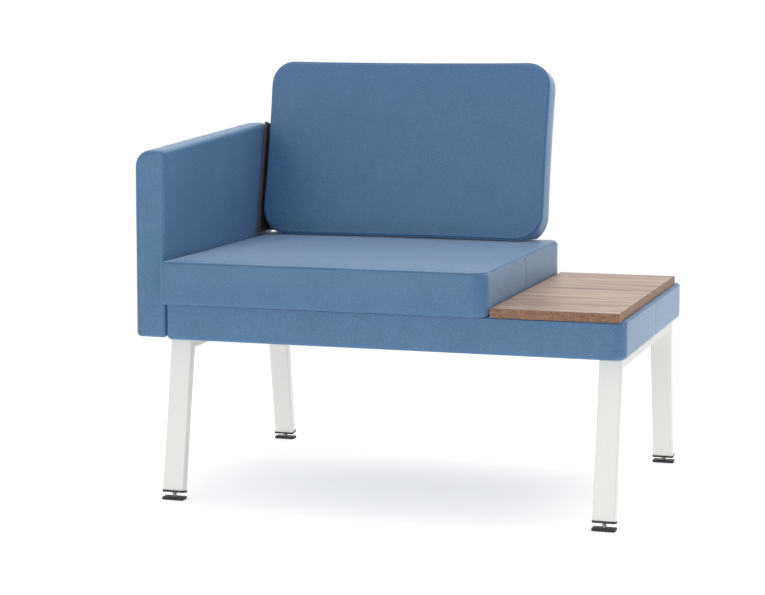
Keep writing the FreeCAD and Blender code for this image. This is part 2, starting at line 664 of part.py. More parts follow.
# Share of the slanted plate that lies below the cushion's middle, share of a plate's thickness that the fin
# is sunk into, the fin's depth at its tip, and how far its inner corner lies in front of the foot and below
# the slanted plate
SLOPE_BELOW = 0.73
WELD_SHARE = 0.8
FIN_TIP = 3
FIN_INNER = (22, 18)


def back_bracket(label, x):
    """Foot plate on the platform's rear, slanted plate on the cushion's rear, and a fin that joins them."""
    rear = d.base_depth
    foot = box(f"{label}_foot", "dims.bracket_wide", "dims.bracket_plate", "dims.bracket_foot_height",
               place(x - d.bracket_wide / 2, rear, BRACKET_FOOT_BOTTOM))
    lower_end = -d.bracket_arm_length * SLOPE_BELOW
    slope = doc.addObject("Part::Box", f"{label}_slope")
    bind(slope, Length="dims.bracket_wide", Width="dims.bracket_arm_length", Height="dims.bracket_plate")
    slope_corner = on_back(x - d.bracket_wide / 2, lower_end, -d.bracket_plate)
    slope.Placement = FreeCAD.Placement(slope_corner, back_turn)
    inside = -WELD_SHARE * d.bracket_plate
    low_end = on_back(x, lower_end, inside)
    high_end = on_back(x, lower_end + d.bracket_arm_length, inside)
    plate_back = rear + WELD_SHARE * d.bracket_plate
    fin_back = rear + d.bracket_plate + d.fin_reach
    corners = [place(x, plate_back, BRACKET_FOOT_BOTTOM), place(x, fin_back, BRACKET_FOOT_BOTTOM),
               place(x, fin_back, low_end.z), high_end + Y_AXIS * FIN_TIP, high_end, low_end,
               place(x, plate_back - FIN_INNER[0], low_end.z - FIN_INNER[1]),
               place(x, plate_back, BRACKET_FOOT_BOTTOM + d.bracket_foot_height)]
    plate = Part.Face(Part.makePolygon(corners + corners[:1])).extrude(X_AXIS * d.fin_thick)
    fin = formed(f"{label}_fin", plate, FreeCAD.Placement(X_AXIS * (-d.fin_thick / 2), FreeCAD.Rotation()))
    welded = fuse(f"{label}_welded", foot, slope, fin)
    return cut(label, welded, bracket_lower_ways, back_screw_ways)


for side, x in zip(("left", "right"), bracket_x):
    keep(f"back_bracket_{side}", back_bracket(f"bracket_{side}", x))

angle = doc.addObject("PartDesign::Body", "corner_angle")
angle_sketch = outline(angle, "XZ_Plane", [
    ("0", "-dims.angle_thick"), ("dims.angle_wide", "-dims.angle_thick"), ("dims.angle_wide", "0"),
    ("dims.angle_thick", "0"), ("dims.angle_thick", "dims.back_thick - dims.angle_setback"),
    ("0", "dims.back_thick - dims.angle_setback")])
feature(angle, "Pad", angle_sketch, "dims.angle_length", both_ways=True)
angle_rise = (ANGLE_SCREW_RISE[0] + ANGLE_SCREW_RISE[1]) / 2 - ANGLE_DROP
angle.Placement = FreeCAD.Placement(on_back(0, angle_rise, 0), back_turn)
seat_room = box("angle_seat_room", "2 * dims.angle_wide", "dims.base_depth", "dims.seat_thick",
                place(-OVERRUN, 0, seat_top + ANGLE_SEAT_GAP - d.seat_thick))
keep("back_corner_angle", cut("corner_angle_drilled", angle, seat_room, back_screw_ways, arm_screw_ways))
keep("corner_angle_screws", group("corner_screw_group", [
    wood_screw("corner_screw", start + X_AXIS * d.angle_thick, -X_AXIS, "dims.arm_screw_length")
    for start in angle_arm_starts]))

lower_screws = [screw("lower_screw", place(x, d.base_depth + d.bracket_plate, z), -Y_AXIS,
                      "dims.bracket_screw_length") for x, z in bracket_lower_points]
upper_screws = [screw("upper_screw", on_back(x, rise, -d.bracket_plate), back_normal,
                      "dims.bracket_screw_length") for x, rise in bracket_upper_points]
angle_screws = [screw("angle_screw", on_back(x, rise, -d.angle_thick), back_normal,
                      "dims.bracket_screw_length") for x, rise in angle_rear_points]
keep("bracket_screws", group("bracket_screw_group", lower_screws + upper_screws + angle_screws))
rear_inserts = [small_insert("rear_insert", place(x, d.base_depth - skin, z), -Y_AXIS)
                for x, z in bracket_lower_points]
back_inserts = [small_insert("back_insert", start, back_normal) for start in back_insert_starts]
keep("bracket_inserts", group("bracket_insert_group", rear_inserts + back_inserts))


# Leg frames: three mitred tubes each, with two welded tabs

MITRE = "dims.tube_deep * tan(45 - dims.leg_splay / 2)"


def tube(name, corners, bore_corners, along, where):
    """A mitred rectangular tube, open at both ends, with its long outer edges rounded."""
    body = doc.addObject("PartDesign::Body", name)
    feature(body, "Pad", outline(body, "YZ_Plane", corners), "dims.tube_wide", both_ways=True)
    feature(body, "Pocket", outline(body, "YZ_Plane", bore_corners), "dims.tube_wide - 2 * dims.tube_wall",
            both_ways=True)

    def outer_long(edge):
        return runs_along(edge, along) and abs(abs(edge_ends(edge, "x")[0]) - d.tube_wide / 2) < SAME

    round_edges(body, outer_long, "dims.tube_round")
    body.Placement = where
    return body


def leg(name, frame_x, end):
    """end is +1 for the front leg, whose inner side lies towards +y, and -1 for the rear leg."""
    inner, low = f"{end} * dims.tube_deep", "-dims.leg_length"
    wall, far = f"{end} * dims.tube_wall", f"{end} * (dims.tube_deep - dims.tube_wall)"
    corners = [("0", "0"), ("0", low), (inner, low), (inner, f"-{MITRE}")]
    above, below = f"{OVERRUN}", f"{low} - {OVERRUN}"
    bore = [(wall, above), (wall, below), (far, below), (far, above)]
    where = placement(frame_x, middle - end * d.frame_span / 2, d.base_bottom, X_AXIS, -end * d.leg_splay)
    return tube(name, corners, bore, "z", where)


def top_rail(name, frame_x):
    half, wall, far = "dims.frame_span / 2", "-dims.tube_wall", "dims.tube_wall - dims.tube_deep"
    corners = [(f"-{half}", "0"), (half, "0"), (f"{half} - {MITRE}", "-dims.tube_deep"),
               (f"{MITRE} - {half}", "-dims.tube_deep")]
    front, rear = f"-{half} - {OVERRUN}", f"{half} + {OVERRUN}"
    bore = [(front, wall), (rear, wall), (rear, far), (front, far)]
    return tube(name, corners, bore, "y", placement(frame_x, middle, d.base_bottom))


frames = {"left": d.left_frame_at, "right": d.right_frame_at}
tab_x = {"left": left_tab_x, "right": right_tab_x}
for side, frame_x in frames.items():
    keep(f"{side}_front_leg", leg(f"{side}_front_tube", frame_x, 1))
    keep(f"{side}_rear_leg", leg(f"{side}_rear_tube", frame_x, -1))
    keep(f"{side}_top_rail", top_rail(f"{side}_rail_tube", frame_x))
    tabs = [box(f"{side}_tab", "dims.tab_wide", "dims.tab_long", "dims.tab_thick",
                place(tab_x[side], y - d.tab_long / 2, d.base_bottom - d.tab_thick)) for y in tab_middles]
    keep(f"{side}_frame_tabs", cut(f"{side}_tabs_drilled", group(f"{side}_tabs", tabs), leg_bolt_ways))
keep("leg_bolts", group("leg_bolt_group", [bolt("leg_bolt", start, Z_AXIS, "dims.leg_bolt_length")
                                           for start in leg_bolt_starts]))
leg_insert_starts = [place(x, y, rail_bottom) for x in tab_bolt_x.values() for y in tab_bolt_y]
keep("leg_inserts", group("leg_insert_group", [large_insert("leg_insert", start, Z_AXIS)
                                               for start in leg_insert_starts]))


# Levelling feet: cap with nut in the leg's end, threaded stem with a half ball, pad and sole

nut_base = V(0, 0, d.cap_plug - d.nut_height)
NECK_OVERLAP = 0.5


def end_cap(name, where):
    flange = rounded_block(f"{name}_flange", "dims.tube_wide + 2 * dims.cap_rim",
                           "dims.tube_deep + 2 * dims.cap_rim", "dims.cap_flange", "dims.cap_round",
                           lower="dims.cap_rim")
    flange.Placement.Base = V(-d.tube_wide / 2 - d.cap_rim, -d.tube_deep / 2 - d.cap_rim, -d.cap_flange)
    margin = d.tube_wall + d.plug_play
    plug = box(f"{name}_plug", f"dims.tube_wide - 2 * {margin}", f"dims.tube_deep - 2 * {margin}",
               "dims.cap_plug", V(margin - d.tube_wide / 2, margin - d.tube_deep / 2, 0))
    nut_seat = hexagon(f"{name}_nut_seat", "dims.nut_radius + dims.thread_play",
                       f"dims.nut_height + {OVERRUN}", nut_base, Z_AXIS)
    bore = rod(f"{name}_bore", "dims.stem_radius + dims.hole_play", "dims.cap_plug + 2 * dims.cap_flange",
               V(0, 0, -2 * d.cap_flange), Z_AXIS)
    cap = cut(name, fuse(f"{name}_blank", flange, plug), nut_seat, bore)
    cap.Placement = where
    return cap


def nut(name, where):
    blank = hexagon(f"{name}_blank", "dims.nut_radius", "dims.nut_height", nut_base, Z_AXIS)
    bore = rod(f"{name}_bore", "dims.stem_radius + dims.stem_play", f"dims.cap_plug + {OVERRUN}", V(0, 0, 0),
               Z_AXIS)
    item = cut(name, blank, bore)
    item.Placement = where
    return item


def stem(name, where):
    """A half ball, a neck and the thread, along the leg; the ball's centre is the origin."""
    ball = doc.addObject("Part::Sphere", f"{name}_ball")
    bind(ball, Radius="dims.ball_radius")
    ball.Angle1 = 0
    neck = rod(f"{name}_neck", "dims.neck_radius", f"dims.neck_length + {NECK_OVERLAP}", V(0, 0, 0), Z_AXIS)
    thread = rod(f"{name}_thread", "dims.stem_radius", "dims.stem_length", V(0, 0, d.neck_length), Z_AXIS)
    item = fuse(name, ball, neck, thread)
    item.Placement = where
    return item


def pad(name, where):
    """A flat plate with a socket for the half ball; the sole closes the socket from below."""
    plate = rounded_block(f"{name}_plate", "dims.pad_wide", "dims.pad_deep", "dims.pad_top - dims.sole_thick",
                          "dims.pad_corner", upper="dims.pad_edge")
    plate.Placement.Base = V(-d.pad_wide / 2, -d.pad_deep / 2, d.sole_thick)
    socket = doc.addObject("Part::Sphere", f"{name}_socket")
    bind(socket, Radius="dims.ball_radius + dims.ball_play")
    socket.Placement.Base = V(0, 0, d.ball_height)
    item = cut(name, plate, socket)
    item.Placement = where
    return item


def sole(name, x, y):
    item = rounded_block(name, "dims.pad_wide - 2 * dims.sole_inset", "dims.pad_deep - 2 * dims.sole_inset",
                         "dims.sole_thick", "dims.pad_corner")
    item.Placement.Base = place(x - d.pad_wide / 2 + d.sole_inset, y - d.pad_deep / 2 + d.sole_inset, 0)
    return item


nuts = []
for side, frame_x in frames.items():
    for end_name, end in (("front", 1), ("rear", -1)):
        foot = f"{side}_{end_name}"
        lean = -end * d.leg_splay
        leg_end = placement(frame_x, middle - end * (middle - leg_end_depth), leg_end_height, X_AXIS, lean)
        ball_y = middle - end * (middle - ball_depth)
        ball_centre = placement(frame_x, ball_y, d.ball_height, X_AXIS, lean)
        keep(f"{foot}_end_cap", end_cap(f"{foot}_cap", leg_end))
        nuts.append(nut(f"{foot}_nut", leg_end))
        keep(f"{foot}_foot_stem", stem(f"{foot}_stem", ball_centre))
        keep(f"{foot}_foot_pad", pad(f"{foot}_pad", placement(frame_x, ball_y, 0)))
        keep(f"{foot}_foot_sole", sole(f"{foot}_sole", frame_x, ball_y))
keep("foot_nuts", group("nut_group", nuts))


# Check every object, then write each sub-part to its own file

doc.recompute()
for item in doc.Objects:
    if "Invalid" in item.State or "Error" in item.State:
        raise SystemExit(f"{item.Name} failed: {item.State}")
for item in nodes:
    if item.Shape.isNull() or not item.Shape.isValid() or item.Shape.Volume <= 0:
        raise SystemExit(f"{item.Label} has no valid shape")

os.makedirs("parts", exist_ok=True)
for item in nodes:
    item.Shape.exportStep(f"parts/{item.Label}.step")
whole = Part.makeCompound([item.Shape for item in nodes]).optimalBoundingBox()
print(f"{len(nodes)} sub-parts, box {whole.XLength:.1f} x {whole.YLength:.1f} x {whole.ZLength:.1f} mm")
print(f"x {whole.XMin:.2f} to {whole.XMax:.2f}, y {whole.YMin:.2f} to {whole.YMax:.2f}")
for item in nodes:
    print(f"{item.Label}: {item.Shape.Volume / 1000:.1f} cm3, {len(item.Shape.Solids)} solids")
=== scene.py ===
# %% [markdown]
# # A waiting bench in felt, white steel and wood decor
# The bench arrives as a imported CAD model: every board, tube, screw and foot is a named node at its real
# place. This lesson leaves that frame where it is and dresses it. Soft pieces are remade as meshes, hard
# pieces keep their CAD mesh and get a finish, and a few small repeated things are grown with Geometry
# Nodes.

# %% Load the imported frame
import json
import math

import bmesh
import bpy
import numpy as np
from mathutils import Matrix, Vector, kdtree


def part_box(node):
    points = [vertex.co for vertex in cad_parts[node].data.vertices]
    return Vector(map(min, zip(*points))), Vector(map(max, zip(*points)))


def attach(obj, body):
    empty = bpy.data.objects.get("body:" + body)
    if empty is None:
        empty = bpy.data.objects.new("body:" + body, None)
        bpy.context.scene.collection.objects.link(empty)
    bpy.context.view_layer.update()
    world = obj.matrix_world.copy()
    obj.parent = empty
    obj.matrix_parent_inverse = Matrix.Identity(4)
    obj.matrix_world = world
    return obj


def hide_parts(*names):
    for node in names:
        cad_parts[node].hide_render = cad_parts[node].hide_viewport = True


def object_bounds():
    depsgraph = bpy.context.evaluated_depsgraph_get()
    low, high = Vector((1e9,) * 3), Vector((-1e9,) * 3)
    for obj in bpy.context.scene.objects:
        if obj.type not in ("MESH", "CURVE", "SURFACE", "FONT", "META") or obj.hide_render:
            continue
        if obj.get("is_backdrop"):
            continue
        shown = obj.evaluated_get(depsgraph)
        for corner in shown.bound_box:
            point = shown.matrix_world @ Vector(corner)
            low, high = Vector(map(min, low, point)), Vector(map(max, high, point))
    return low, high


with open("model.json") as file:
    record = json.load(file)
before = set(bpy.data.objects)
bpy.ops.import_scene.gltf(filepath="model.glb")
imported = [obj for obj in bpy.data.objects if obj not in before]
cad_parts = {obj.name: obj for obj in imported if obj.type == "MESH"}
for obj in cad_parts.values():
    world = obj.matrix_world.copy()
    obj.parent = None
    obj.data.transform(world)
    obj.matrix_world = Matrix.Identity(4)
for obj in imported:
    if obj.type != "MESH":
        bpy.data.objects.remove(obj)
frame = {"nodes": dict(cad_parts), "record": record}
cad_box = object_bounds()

nodes = frame["nodes"]

# %% [markdown]
# ## Places and sizes
# The CAD model measures every place in millimetres from the platform's front left corner, so the same
# habit is kept here. Reading the corner from the frame instead of typing it keeps both models in step.

# %% Millimetres from the platform's corner
MM = 0.001
platform_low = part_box("base_cover")[0]


def place(x, y, z):
    """A point x to the right and y to the back of the platform's corner, z above the floor, in mm."""
    return Vector((platform_low.x + x * MM, platform_low.y + y * MM, z * MM))


def sizes_mm(node_name):
    """Low corner measured as place() does, and size, of a CAD node, in mm."""
    low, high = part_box(node_name)
    start = (low - Vector((platform_low.x, platform_low.y, 0))) / MM
    return np.array(start), np.array((high - low) / MM)


print("platform", [round(float(side), 1) for side in sizes_mm("base_cover")[1]], "mm")

# %% [markdown]
# ## Building materials from nodes
# Every finish is a small node tree. One helper adds a node, sets its properties and fills or links its
# sockets. Colours are written as the hex values that a paint shop would use. Blender works in linear
# light, so one function converts them. Texture scales count repeats per metre, so another turns a size in
# mm to a scale.

# %% Colours and scales


def srgb(hex_text):
    """Linear RGBA of an sRGB hex colour."""
    parts = [int(hex_text[i:i + 2], 16) / 255 for i in (1, 3, 5)]
    return [p / 12.92 if p <= 0.04045 else ((p + 0.055) / 1.055) ** 2.4 for p in parts] + [1.0]


def per(size_mm):
    """Texture scale whose features are about size_mm wide."""
    return 1 / (size_mm * MM)


print("mid grey #808080 is", round(srgb("#808080")[0], 3), "in linear light")

# %% Nodes


def node(tree, kind, inputs=None, **settings):
    """Add a node. Settings are its properties; inputs are values, or other nodes' outputs to link."""
    made = tree.nodes.new(kind)
    for name, value in settings.items():
        setattr(made, name, value)
    for key, value in (inputs or {}).items():
        if isinstance(value, bpy.types.NodeSocket):
            tree.links.new(value, made.inputs[key])
        else:
            made.inputs[key].default_value = value
    return made


def new_finish(name, **sockets):
    """A material with its shader's plain values set, its tree, the shader and the Object coordinates."""
    made = bpy.data.materials.new(name)
    made.use_nodes = True
    tree = made.node_tree
    shader = tree.nodes["Principled BSDF"]
    for socket, value in sockets.items():
        shader.inputs[socket.replace("_", " ")].default_value = value
    return made, tree, shader, node(tree, "ShaderNodeTexCoord").outputs["Object"]


finishes = {}

# %% [markdown]
# ## Upholstery: milled wool-blend felt
# The covers are one blue melange cloth: a dense milled wool blend. Close up it is a mix of darker and
# paler fibres, so it looks finely speckled. Its surface is pressed smooth with a short nap. Seen from the
# front it is a calm blue, and at a low angle the nap catches light and the fibres mirror the white room,
# which is why the seat's top and the right sides look much paler and grainy. An image would tile and
# smear at the corners, so the flecks are noise in object space. The pale look at low angles comes from
# the shader's sheen and its own reflection, and the sheen is stronger in small patches, where the nap
# stands up.

# %% Felt
# Real fibres are about 0.02 mm; the flecks are drawn larger so that they show as speckle in the render.
FLECK_MM = 1.9
NAP_MM = 3.2
PATCH_MM = 5
CLOUD_MM = 60


def milled_felt(name, deep, pale):
    made, tree, shader, spot = new_finish(
        name, Roughness=0.46, Sheen_Roughness=0.3, Sheen_Tint=srgb("#D6E2F0"))
    flecks = node(tree, "ShaderNodeTexNoise", {"Vector": spot, "Scale": per(FLECK_MM), "Detail": 2.0})
    clouds = node(tree, "ShaderNodeTexNoise", {"Vector": spot, "Scale": per(CLOUD_MM), "Detail": 2.0})
    contrast = node(tree, "ShaderNodeMapRange", {"Value": flecks.outputs["Fac"], "From Min": 0.3,
                                                 "From Max": 0.7})
    drift = node(tree, "ShaderNodeMapRange", {"Value": clouds.outputs["Fac"], "From Min": 0.3,
                                              "From Max": 0.7, "To Min": -0.1, "To Max": 0.1})
    tone = node(tree, "ShaderNodeMath", {0: contrast.outputs["Result"], 1: drift.outputs["Result"]},
                operation="ADD", use_clamp=True)
    colour = node(tree, "ShaderNodeMix", {0: tone.outputs["Value"], 6: srgb(deep), 7: srgb(pale)},
                  data_type="RGBA")
    nap = node(tree, "ShaderNodeTexNoise", {"Vector": spot, "Scale": per(NAP_MM), "Detail": 2.0})
    bump = node(tree, "ShaderNodeBump", {"Height": nap.outputs["Fac"], "Strength": 0.5, "Distance": 0.0014})
    patches = node(tree, "ShaderNodeTexNoise", {"Vector": spot, "Scale": per(PATCH_MM), "Detail": 3.0})
    standing = node(tree, "ShaderNodeMapRange", {"Value": patches.outputs["Fac"], "From Min": 0.35,
                                                 "From Max": 0.65, "To Min": 0.65, "To Max": 1.0})
    tree.links.new(standing.outputs["Result"], shader.inputs["Sheen Weight"])
    tree.links.new(colour.outputs[2], shader.inputs["Base Color"])
    tree.links.new(bump.outputs["Normal"], shader.inputs["Normal"])
    return made


finishes["blue_fabric"] = milled_felt("milled_wool_blend_felt", "#3D668E", "#517CA5")
print("felt flecks every", FLECK_MM, "mm")

# %% [markdown]
# ## Powder-coated steel
# The leg tubes are sprayed with dry paint and baked. That leaves a smooth, slightly wavy skin, called
# orange peel, about 2 mm from crest to crest. A bump from soft noise gives the wave, and a middling
# roughness the silky gloss. The brackets at the back have the same coat in a dull brown grey.

# %% Powder coat
PEEL_MM = 2.0


def powder_coat(name, colour, roughness):
    made, tree, shader, spot = new_finish(name, Roughness=roughness, IOR=1.5)
    peel = node(tree, "ShaderNodeTexNoise", {"Vector": spot, "Scale": per(PEEL_MM), "Detail": 1.0})
    shade = node(tree, "ShaderNodeMapRange", {"Value": peel.outputs["Fac"], "To Min": 0.96, "To Max": 1.0})
    tint = node(tree, "ShaderNodeVectorMath", {0: srgb(colour)[:3], "Scale": shade.outputs["Result"]},
                operation="SCALE")
    bump = node(tree, "ShaderNodeBump", {"Height": peel.outputs["Fac"], "Strength": 0.12, "Distance": 0.0002})
    tree.links.new(tint.outputs["Vector"], shader.inputs["Base Color"])
    tree.links.new(bump.outputs["Normal"], shader.inputs["Normal"])
    return made


finishes["white_steel"] = powder_coat("powder_coated_steel_white", "#E7E7E4", 0.28)
finishes["dark_steel"] = powder_coat("powder_coated_steel_brown_grey", "#5A544F", 0.6)
print("orange peel every", PEEL_MM, "mm")

# %% [markdown]
# ## Black moulded parts
# Caps and pads of the feet are injection-moulded polyamide with a fine spark-eroded grain, and the soles
# are moulded rubber, rougher and a little greyer. Both come from one recipe with two grain sizes.

# %% Moulded plastic and rubber


def moulded(name, colour, worn, grain_mm, roughness):
    made, tree, shader, spot = new_finish(name, Roughness=roughness, IOR=1.5)
    grain = node(tree, "ShaderNodeTexVoronoi", {"Vector": spot, "Scale": per(grain_mm)})
    colour_mix = node(tree, "ShaderNodeMix", {0: grain.outputs["Distance"], 6: srgb(colour), 7: srgb(worn)},
                      data_type="RGBA")
    bump = node(tree, "ShaderNodeBump", {"Height": grain.outputs["Distance"], "Strength": 0.25,
                                         "Distance": 0.0002})
    tree.links.new(colour_mix.outputs[2], shader.inputs["Base Color"])
    tree.links.new(bump.outputs["Normal"], shader.inputs["Normal"])
    return made


finishes["black_plastic"] = moulded("moulded_polyamide_black", "#08080A", "#121214", 0.9, 0.5)
finishes["black_rubber"] = moulded("moulded_rubber_black", "#0C0C0C", "#161616", 1.6, 0.75)
print("moulded:", finishes["black_plastic"].name, "and", finishes["black_rubber"].name)

# %% [markdown]
# ## Zinc-plated steel
# Screws, nuts and the stems of the feet are zinc plated: a bright, faintly bluish metal whose gloss is
# broken by fine crystals. Metals get their colour from the reflection, so Metallic is 1 and noise drives
# roughness.

# %% Zinc plate
CRYSTAL_MM = 0.8


def zinc_plate():
    made, tree, shader, spot = new_finish("zinc_plated_steel", Metallic=1.0, Base_Color=srgb("#C9CDD2"))
    crystals = node(tree, "ShaderNodeTexNoise", {"Vector": spot, "Scale": per(CRYSTAL_MM), "Detail": 2.0})
    gloss = node(tree, "ShaderNodeMapRange", {"Value": crystals.outputs["Fac"], "To Min": 0.22,
                                              "To Max": 0.42})
    tree.links.new(gloss.outputs["Result"], shader.inputs["Roughness"])
    return made


finishes["zinc_steel"] = zinc_plate()
print("zinc crystals every", CRYSTAL_MM, "mm")

# %% [markdown]
# ## Wood
# The table is a decor panel: a printed walnut-like grain under a satin resin skin. Its grain runs along
# the bench, in streaks 260 mm long and 24 mm wide, with fine pores between. Stretching the noise with a
# Mapping node gives both from real sizes. The hidden frame is pine and birch plywood, with plainer grain.

# %% Wood grain


def wood(name, deep, pale, streak_mm, pore_mm, roughness, streak_share=0.65, upper_face=None):
    """streak_mm and pore_mm are the length along X, and the width, of the two layers of grain.

    upper_face colours what looks straight up, such as the cut edge of a glued band.
    """
    made, tree, shader, spot = new_finish(name, Roughness=roughness, IOR=1.5)
    layers = []
    for length, width in (streak_mm, pore_mm):
        stretch = (per(length), per(width), per(width))
        along = node(tree, "ShaderNodeMapping", {"Vector": spot, "Scale": stretch})
        grain = node(tree, "ShaderNodeTexNoise", {"Vector": along.outputs["Vector"], "Scale": 1.0,
                                                  "Detail": 3.0, "Roughness": 0.55, "Distortion": 0.4})
        layers.append(node(tree, "ShaderNodeMapRange", {"Value": grain.outputs["Fac"], "From Min": 0.28,
                                                        "From Max": 0.72}).outputs["Result"])
    blend = node(tree, "ShaderNodeMix", {0: streak_share, 2: layers[1], 3: layers[0]}, data_type="FLOAT")
    colour = node(tree, "ShaderNodeMix", {0: blend.outputs[0], 6: srgb(deep), 7: srgb(pale)},
                  data_type="RGBA")
    if upper_face:
        normal = node(tree, "ShaderNodeNewGeometry").outputs["Normal"]
        facing = node(tree, "ShaderNodeSeparateXYZ", {0: normal})
        is_up = node(tree, "ShaderNodeMath", {0: facing.outputs["Z"], 1: 0.5}, operation="GREATER_THAN")
        colour = node(tree, "ShaderNodeMix", {0: is_up.outputs["Value"], 6: colour.outputs[2],
                                              7: srgb(upper_face)}, data_type="RGBA")
    bump = node(tree, "ShaderNodeBump", {"Height": layers[1], "Strength": 0.15, "Distance": 0.0002})
    tree.links.new(colour.outputs[2], shader.inputs["Base Color"])
    tree.links.new(bump.outputs["Normal"], shader.inputs["Normal"])
    return made


# Partly painted reflection: the decor's pale tone is raised above its own colour, for the paler look of the
# top seen at a low angle
finishes["wood_decor"] = wood("printed_wood_decor_satin_painted_reflection", "#593A29", "#D2B4A0", (260, 24), (50, 2.4), 0.45)
# The edge bands have their own short grain, in a darker copy of the decor: the extra darkness is painted
# shade for their upright faces
SHADED_BAND_DEEP, SHADED_BAND_PALE, BAND_TOP = "#3B2317", "#A97D61", "#5A331D"
shaded_band_finish = wood("wood_decor_edge_band_painted_shade", SHADED_BAND_DEEP, SHADED_BAND_PALE, (14, 5), (5, 2.2), 0.5, streak_share=0.4,
                   upper_face=BAND_TOP)
finishes["timber"] = wood("planed_pine", "#B78B55", "#DDBB86", (300, 14), (60, 2), 0.6)
finishes["plywood"] = wood("sanded_birch_plywood", "#C4A57C", "#DCC5A0", (180, 18), (30, 1.5), 0.65)
print("woods:", *[finishes[slot].name for slot in ("wood_decor", "timber", "plywood")])

# %% [markdown]
# ## Foam, dust cloth and thread
# Foam only shows where a cover is off, and the dust cloth only from below, but both get their real
# texture: open cells about 1.5 mm wide, and the random fibres of spunbonded cloth. The sewing thread is
# spun polyester, blue in the rims, and its fine twist is drawn as a grain of 0.6 mm. Beside the upright
# seams a near-white thread carries a painted highlight: its pale colour stands in for the light caught
# along the seam's rounded edge.

# %% Foam, spunbond and thread


def fibrous(name, deep, pale, cell_mm, roughness):
    made, tree, shader, spot = new_finish(name, Roughness=roughness)
    cells = node(tree, "ShaderNodeTexVoronoi", {"Vector": spot, "Scale": per(cell_mm)}, feature="SMOOTH_F1")
    colour = node(tree, "ShaderNodeMix", {0: cells.outputs["Distance"], 6: srgb(deep), 7: srgb(pale)},
                  data_type="RGBA")
    bump = node(tree, "ShaderNodeBump", {"Height": cells.outputs["Distance"], "Strength": 0.5,
                                         "Distance": 0.0005})
    tree.links.new(colour.outputs[2], shader.inputs["Base Color"])
    tree.links.new(bump.outputs["Normal"], shader.inputs["Normal"])
    return made


finishes["foam"] = fibrous("cut_polyurethane_foam", "#C9BC92", "#E6DCBC", 1.5, 0.9)
finishes["dust_cloth"] = fibrous("spunbonded_dust_cloth_black", "#151517", "#2C2C30", 1.4, 0.85)
thread_finish = moulded("spun_polyester_thread_blue", "#34577F", "#4F76A0", 0.6, 0.7)
# Painted highlight: this near-white thread stands in for the light along the upright seams' rounded edges
highlight_thread_finish = moulded("white_thread_painted_highlight", "#EEF2F6", "#FCFDFE", 0.6, 0.5)
print(len(finishes), "slots have a finish")

# %% [markdown]
# ## Finishing the CAD nodes
# Hard pieces already have the right shape, so they only swap the plain slot colour for the real finish.
# The record says which slot each node belongs to.

# %% Dress the CAD nodes
slot_of = {part["node"]: part["material_slot"] for part in frame["record"]["subparts"]}
for name, item in nodes.items():
    for material_slot in item.material_slots:
        material_slot.material = finishes[slot_of[name]]
print("finished", len(slot_of), "nodes in", len(set(slot_of.values())), "finishes")

# %% [markdown]
# ## Soft blocks
# Seat, back, armrest and platform are all padded blocks: a box with round upright corners, and round
# lower and upper edges of other radii. A voxel remesh would blur those edges, so each block starts as the
# skin of a grid whose lines lie close together where the cloth bends or is sewn, and far apart where it
# is flat. Rims that are sewn get the closest lines. All distances are in millimetres.

# %% Grid lines and their skin
SEAM_LINES = (0, 0.7, 1.5, 3.2, 5.5, 8.5, 12)
SEAM_REACH = SEAM_LINES[-1] + 1
SEWN_RIM = (0, 0.7, 1.5, 3.2, 5.5, 9, 14, 20, 28)
PLAIN_RIM = (0, 1.5, 3.5, 6, 9, 14, 20, 28)
FLAT_STEP = 13


def grid_lines(length, low, high, step, marks=()):
    """Grid lines on 0..length: given distances from either end, even steps between, more by seams."""
    start, stop = low[-1], length - high[-1]
    lines = list(low) + [length - away for away in high]
    lines += list(np.linspace(start, stop, max(2, round((stop - start) / step) + 1)))
    for mark in marks:
        lines = [line for line in lines if abs(line - mark) > SEAM_REACH]
        lines += [mark + side * away for away in SEAM_LINES for side in (-1, 1)]
    return np.array(sorted({round(float(line), 4) for line in lines}))


def grid_skin(xs, ys, zs):
    """Points and outward quads of the skin of a box with these grid lines."""
    lines = (xs, ys, zs)
    index, points, quads = {}, [], []
    for axis in range(3):
        across, up = (axis + 1) % 3, (axis + 2) % 3
        for end in (0, len(lines[axis]) - 1):
            for i in range(len(lines[across]) - 1):
                for j in range(len(lines[up]) - 1):
                    ring = []
                    for step_across, step_up in ((0, 0), (1, 0), (1, 1), (0, 1)):
                        cell = [0, 0, 0]
                        cell[axis], cell[across], cell[up] = end, i + step_across, j + step_up
                        if tuple(cell) not in index:
                            index[tuple(cell)] = len(points)
                            points.append([lines[k][cell[k]] for k in range(3)])
                        ring.append(index[tuple(cell)])
                    quads.append(ring if end else ring[::-1])
    return np.array(points), quads


print("lines beside a seam at", SEAM_LINES, "mm")

# %% [markdown]
# ## Rounding the skin
# The flat skin gets its round corners from one formula, which turns the corner of a square to a quarter
# disc. It is used once in plan and once in the profile of the rims. A Bevel modifier could do it too, but
# it would place its own edges, and here the lines beside the seams have to stay where they are. A crown
# and drawn-in sides are then added by formulas as well.

# %% Round corners


def square_to_disc(across, up):
    return across * np.sqrt(1 - up ** 2 / 2), up * np.sqrt(1 - across ** 2 / 2)


def four_corners(front_left, front_right=None, rear_left=None, rear_right=None):
    """Plan radii by the signs of x and y; a corner that isn't given is like the front left one."""
    given = (front_left, front_right, rear_left, rear_right)
    return dict(zip(((-1, -1), (1, -1), (-1, 1), (1, 1)), [radius or front_left for radius in given]))


print("a square's corner turns to", [round(float(part), 3) for part in square_to_disc(1.0, 1.0)])

# %% Soft block


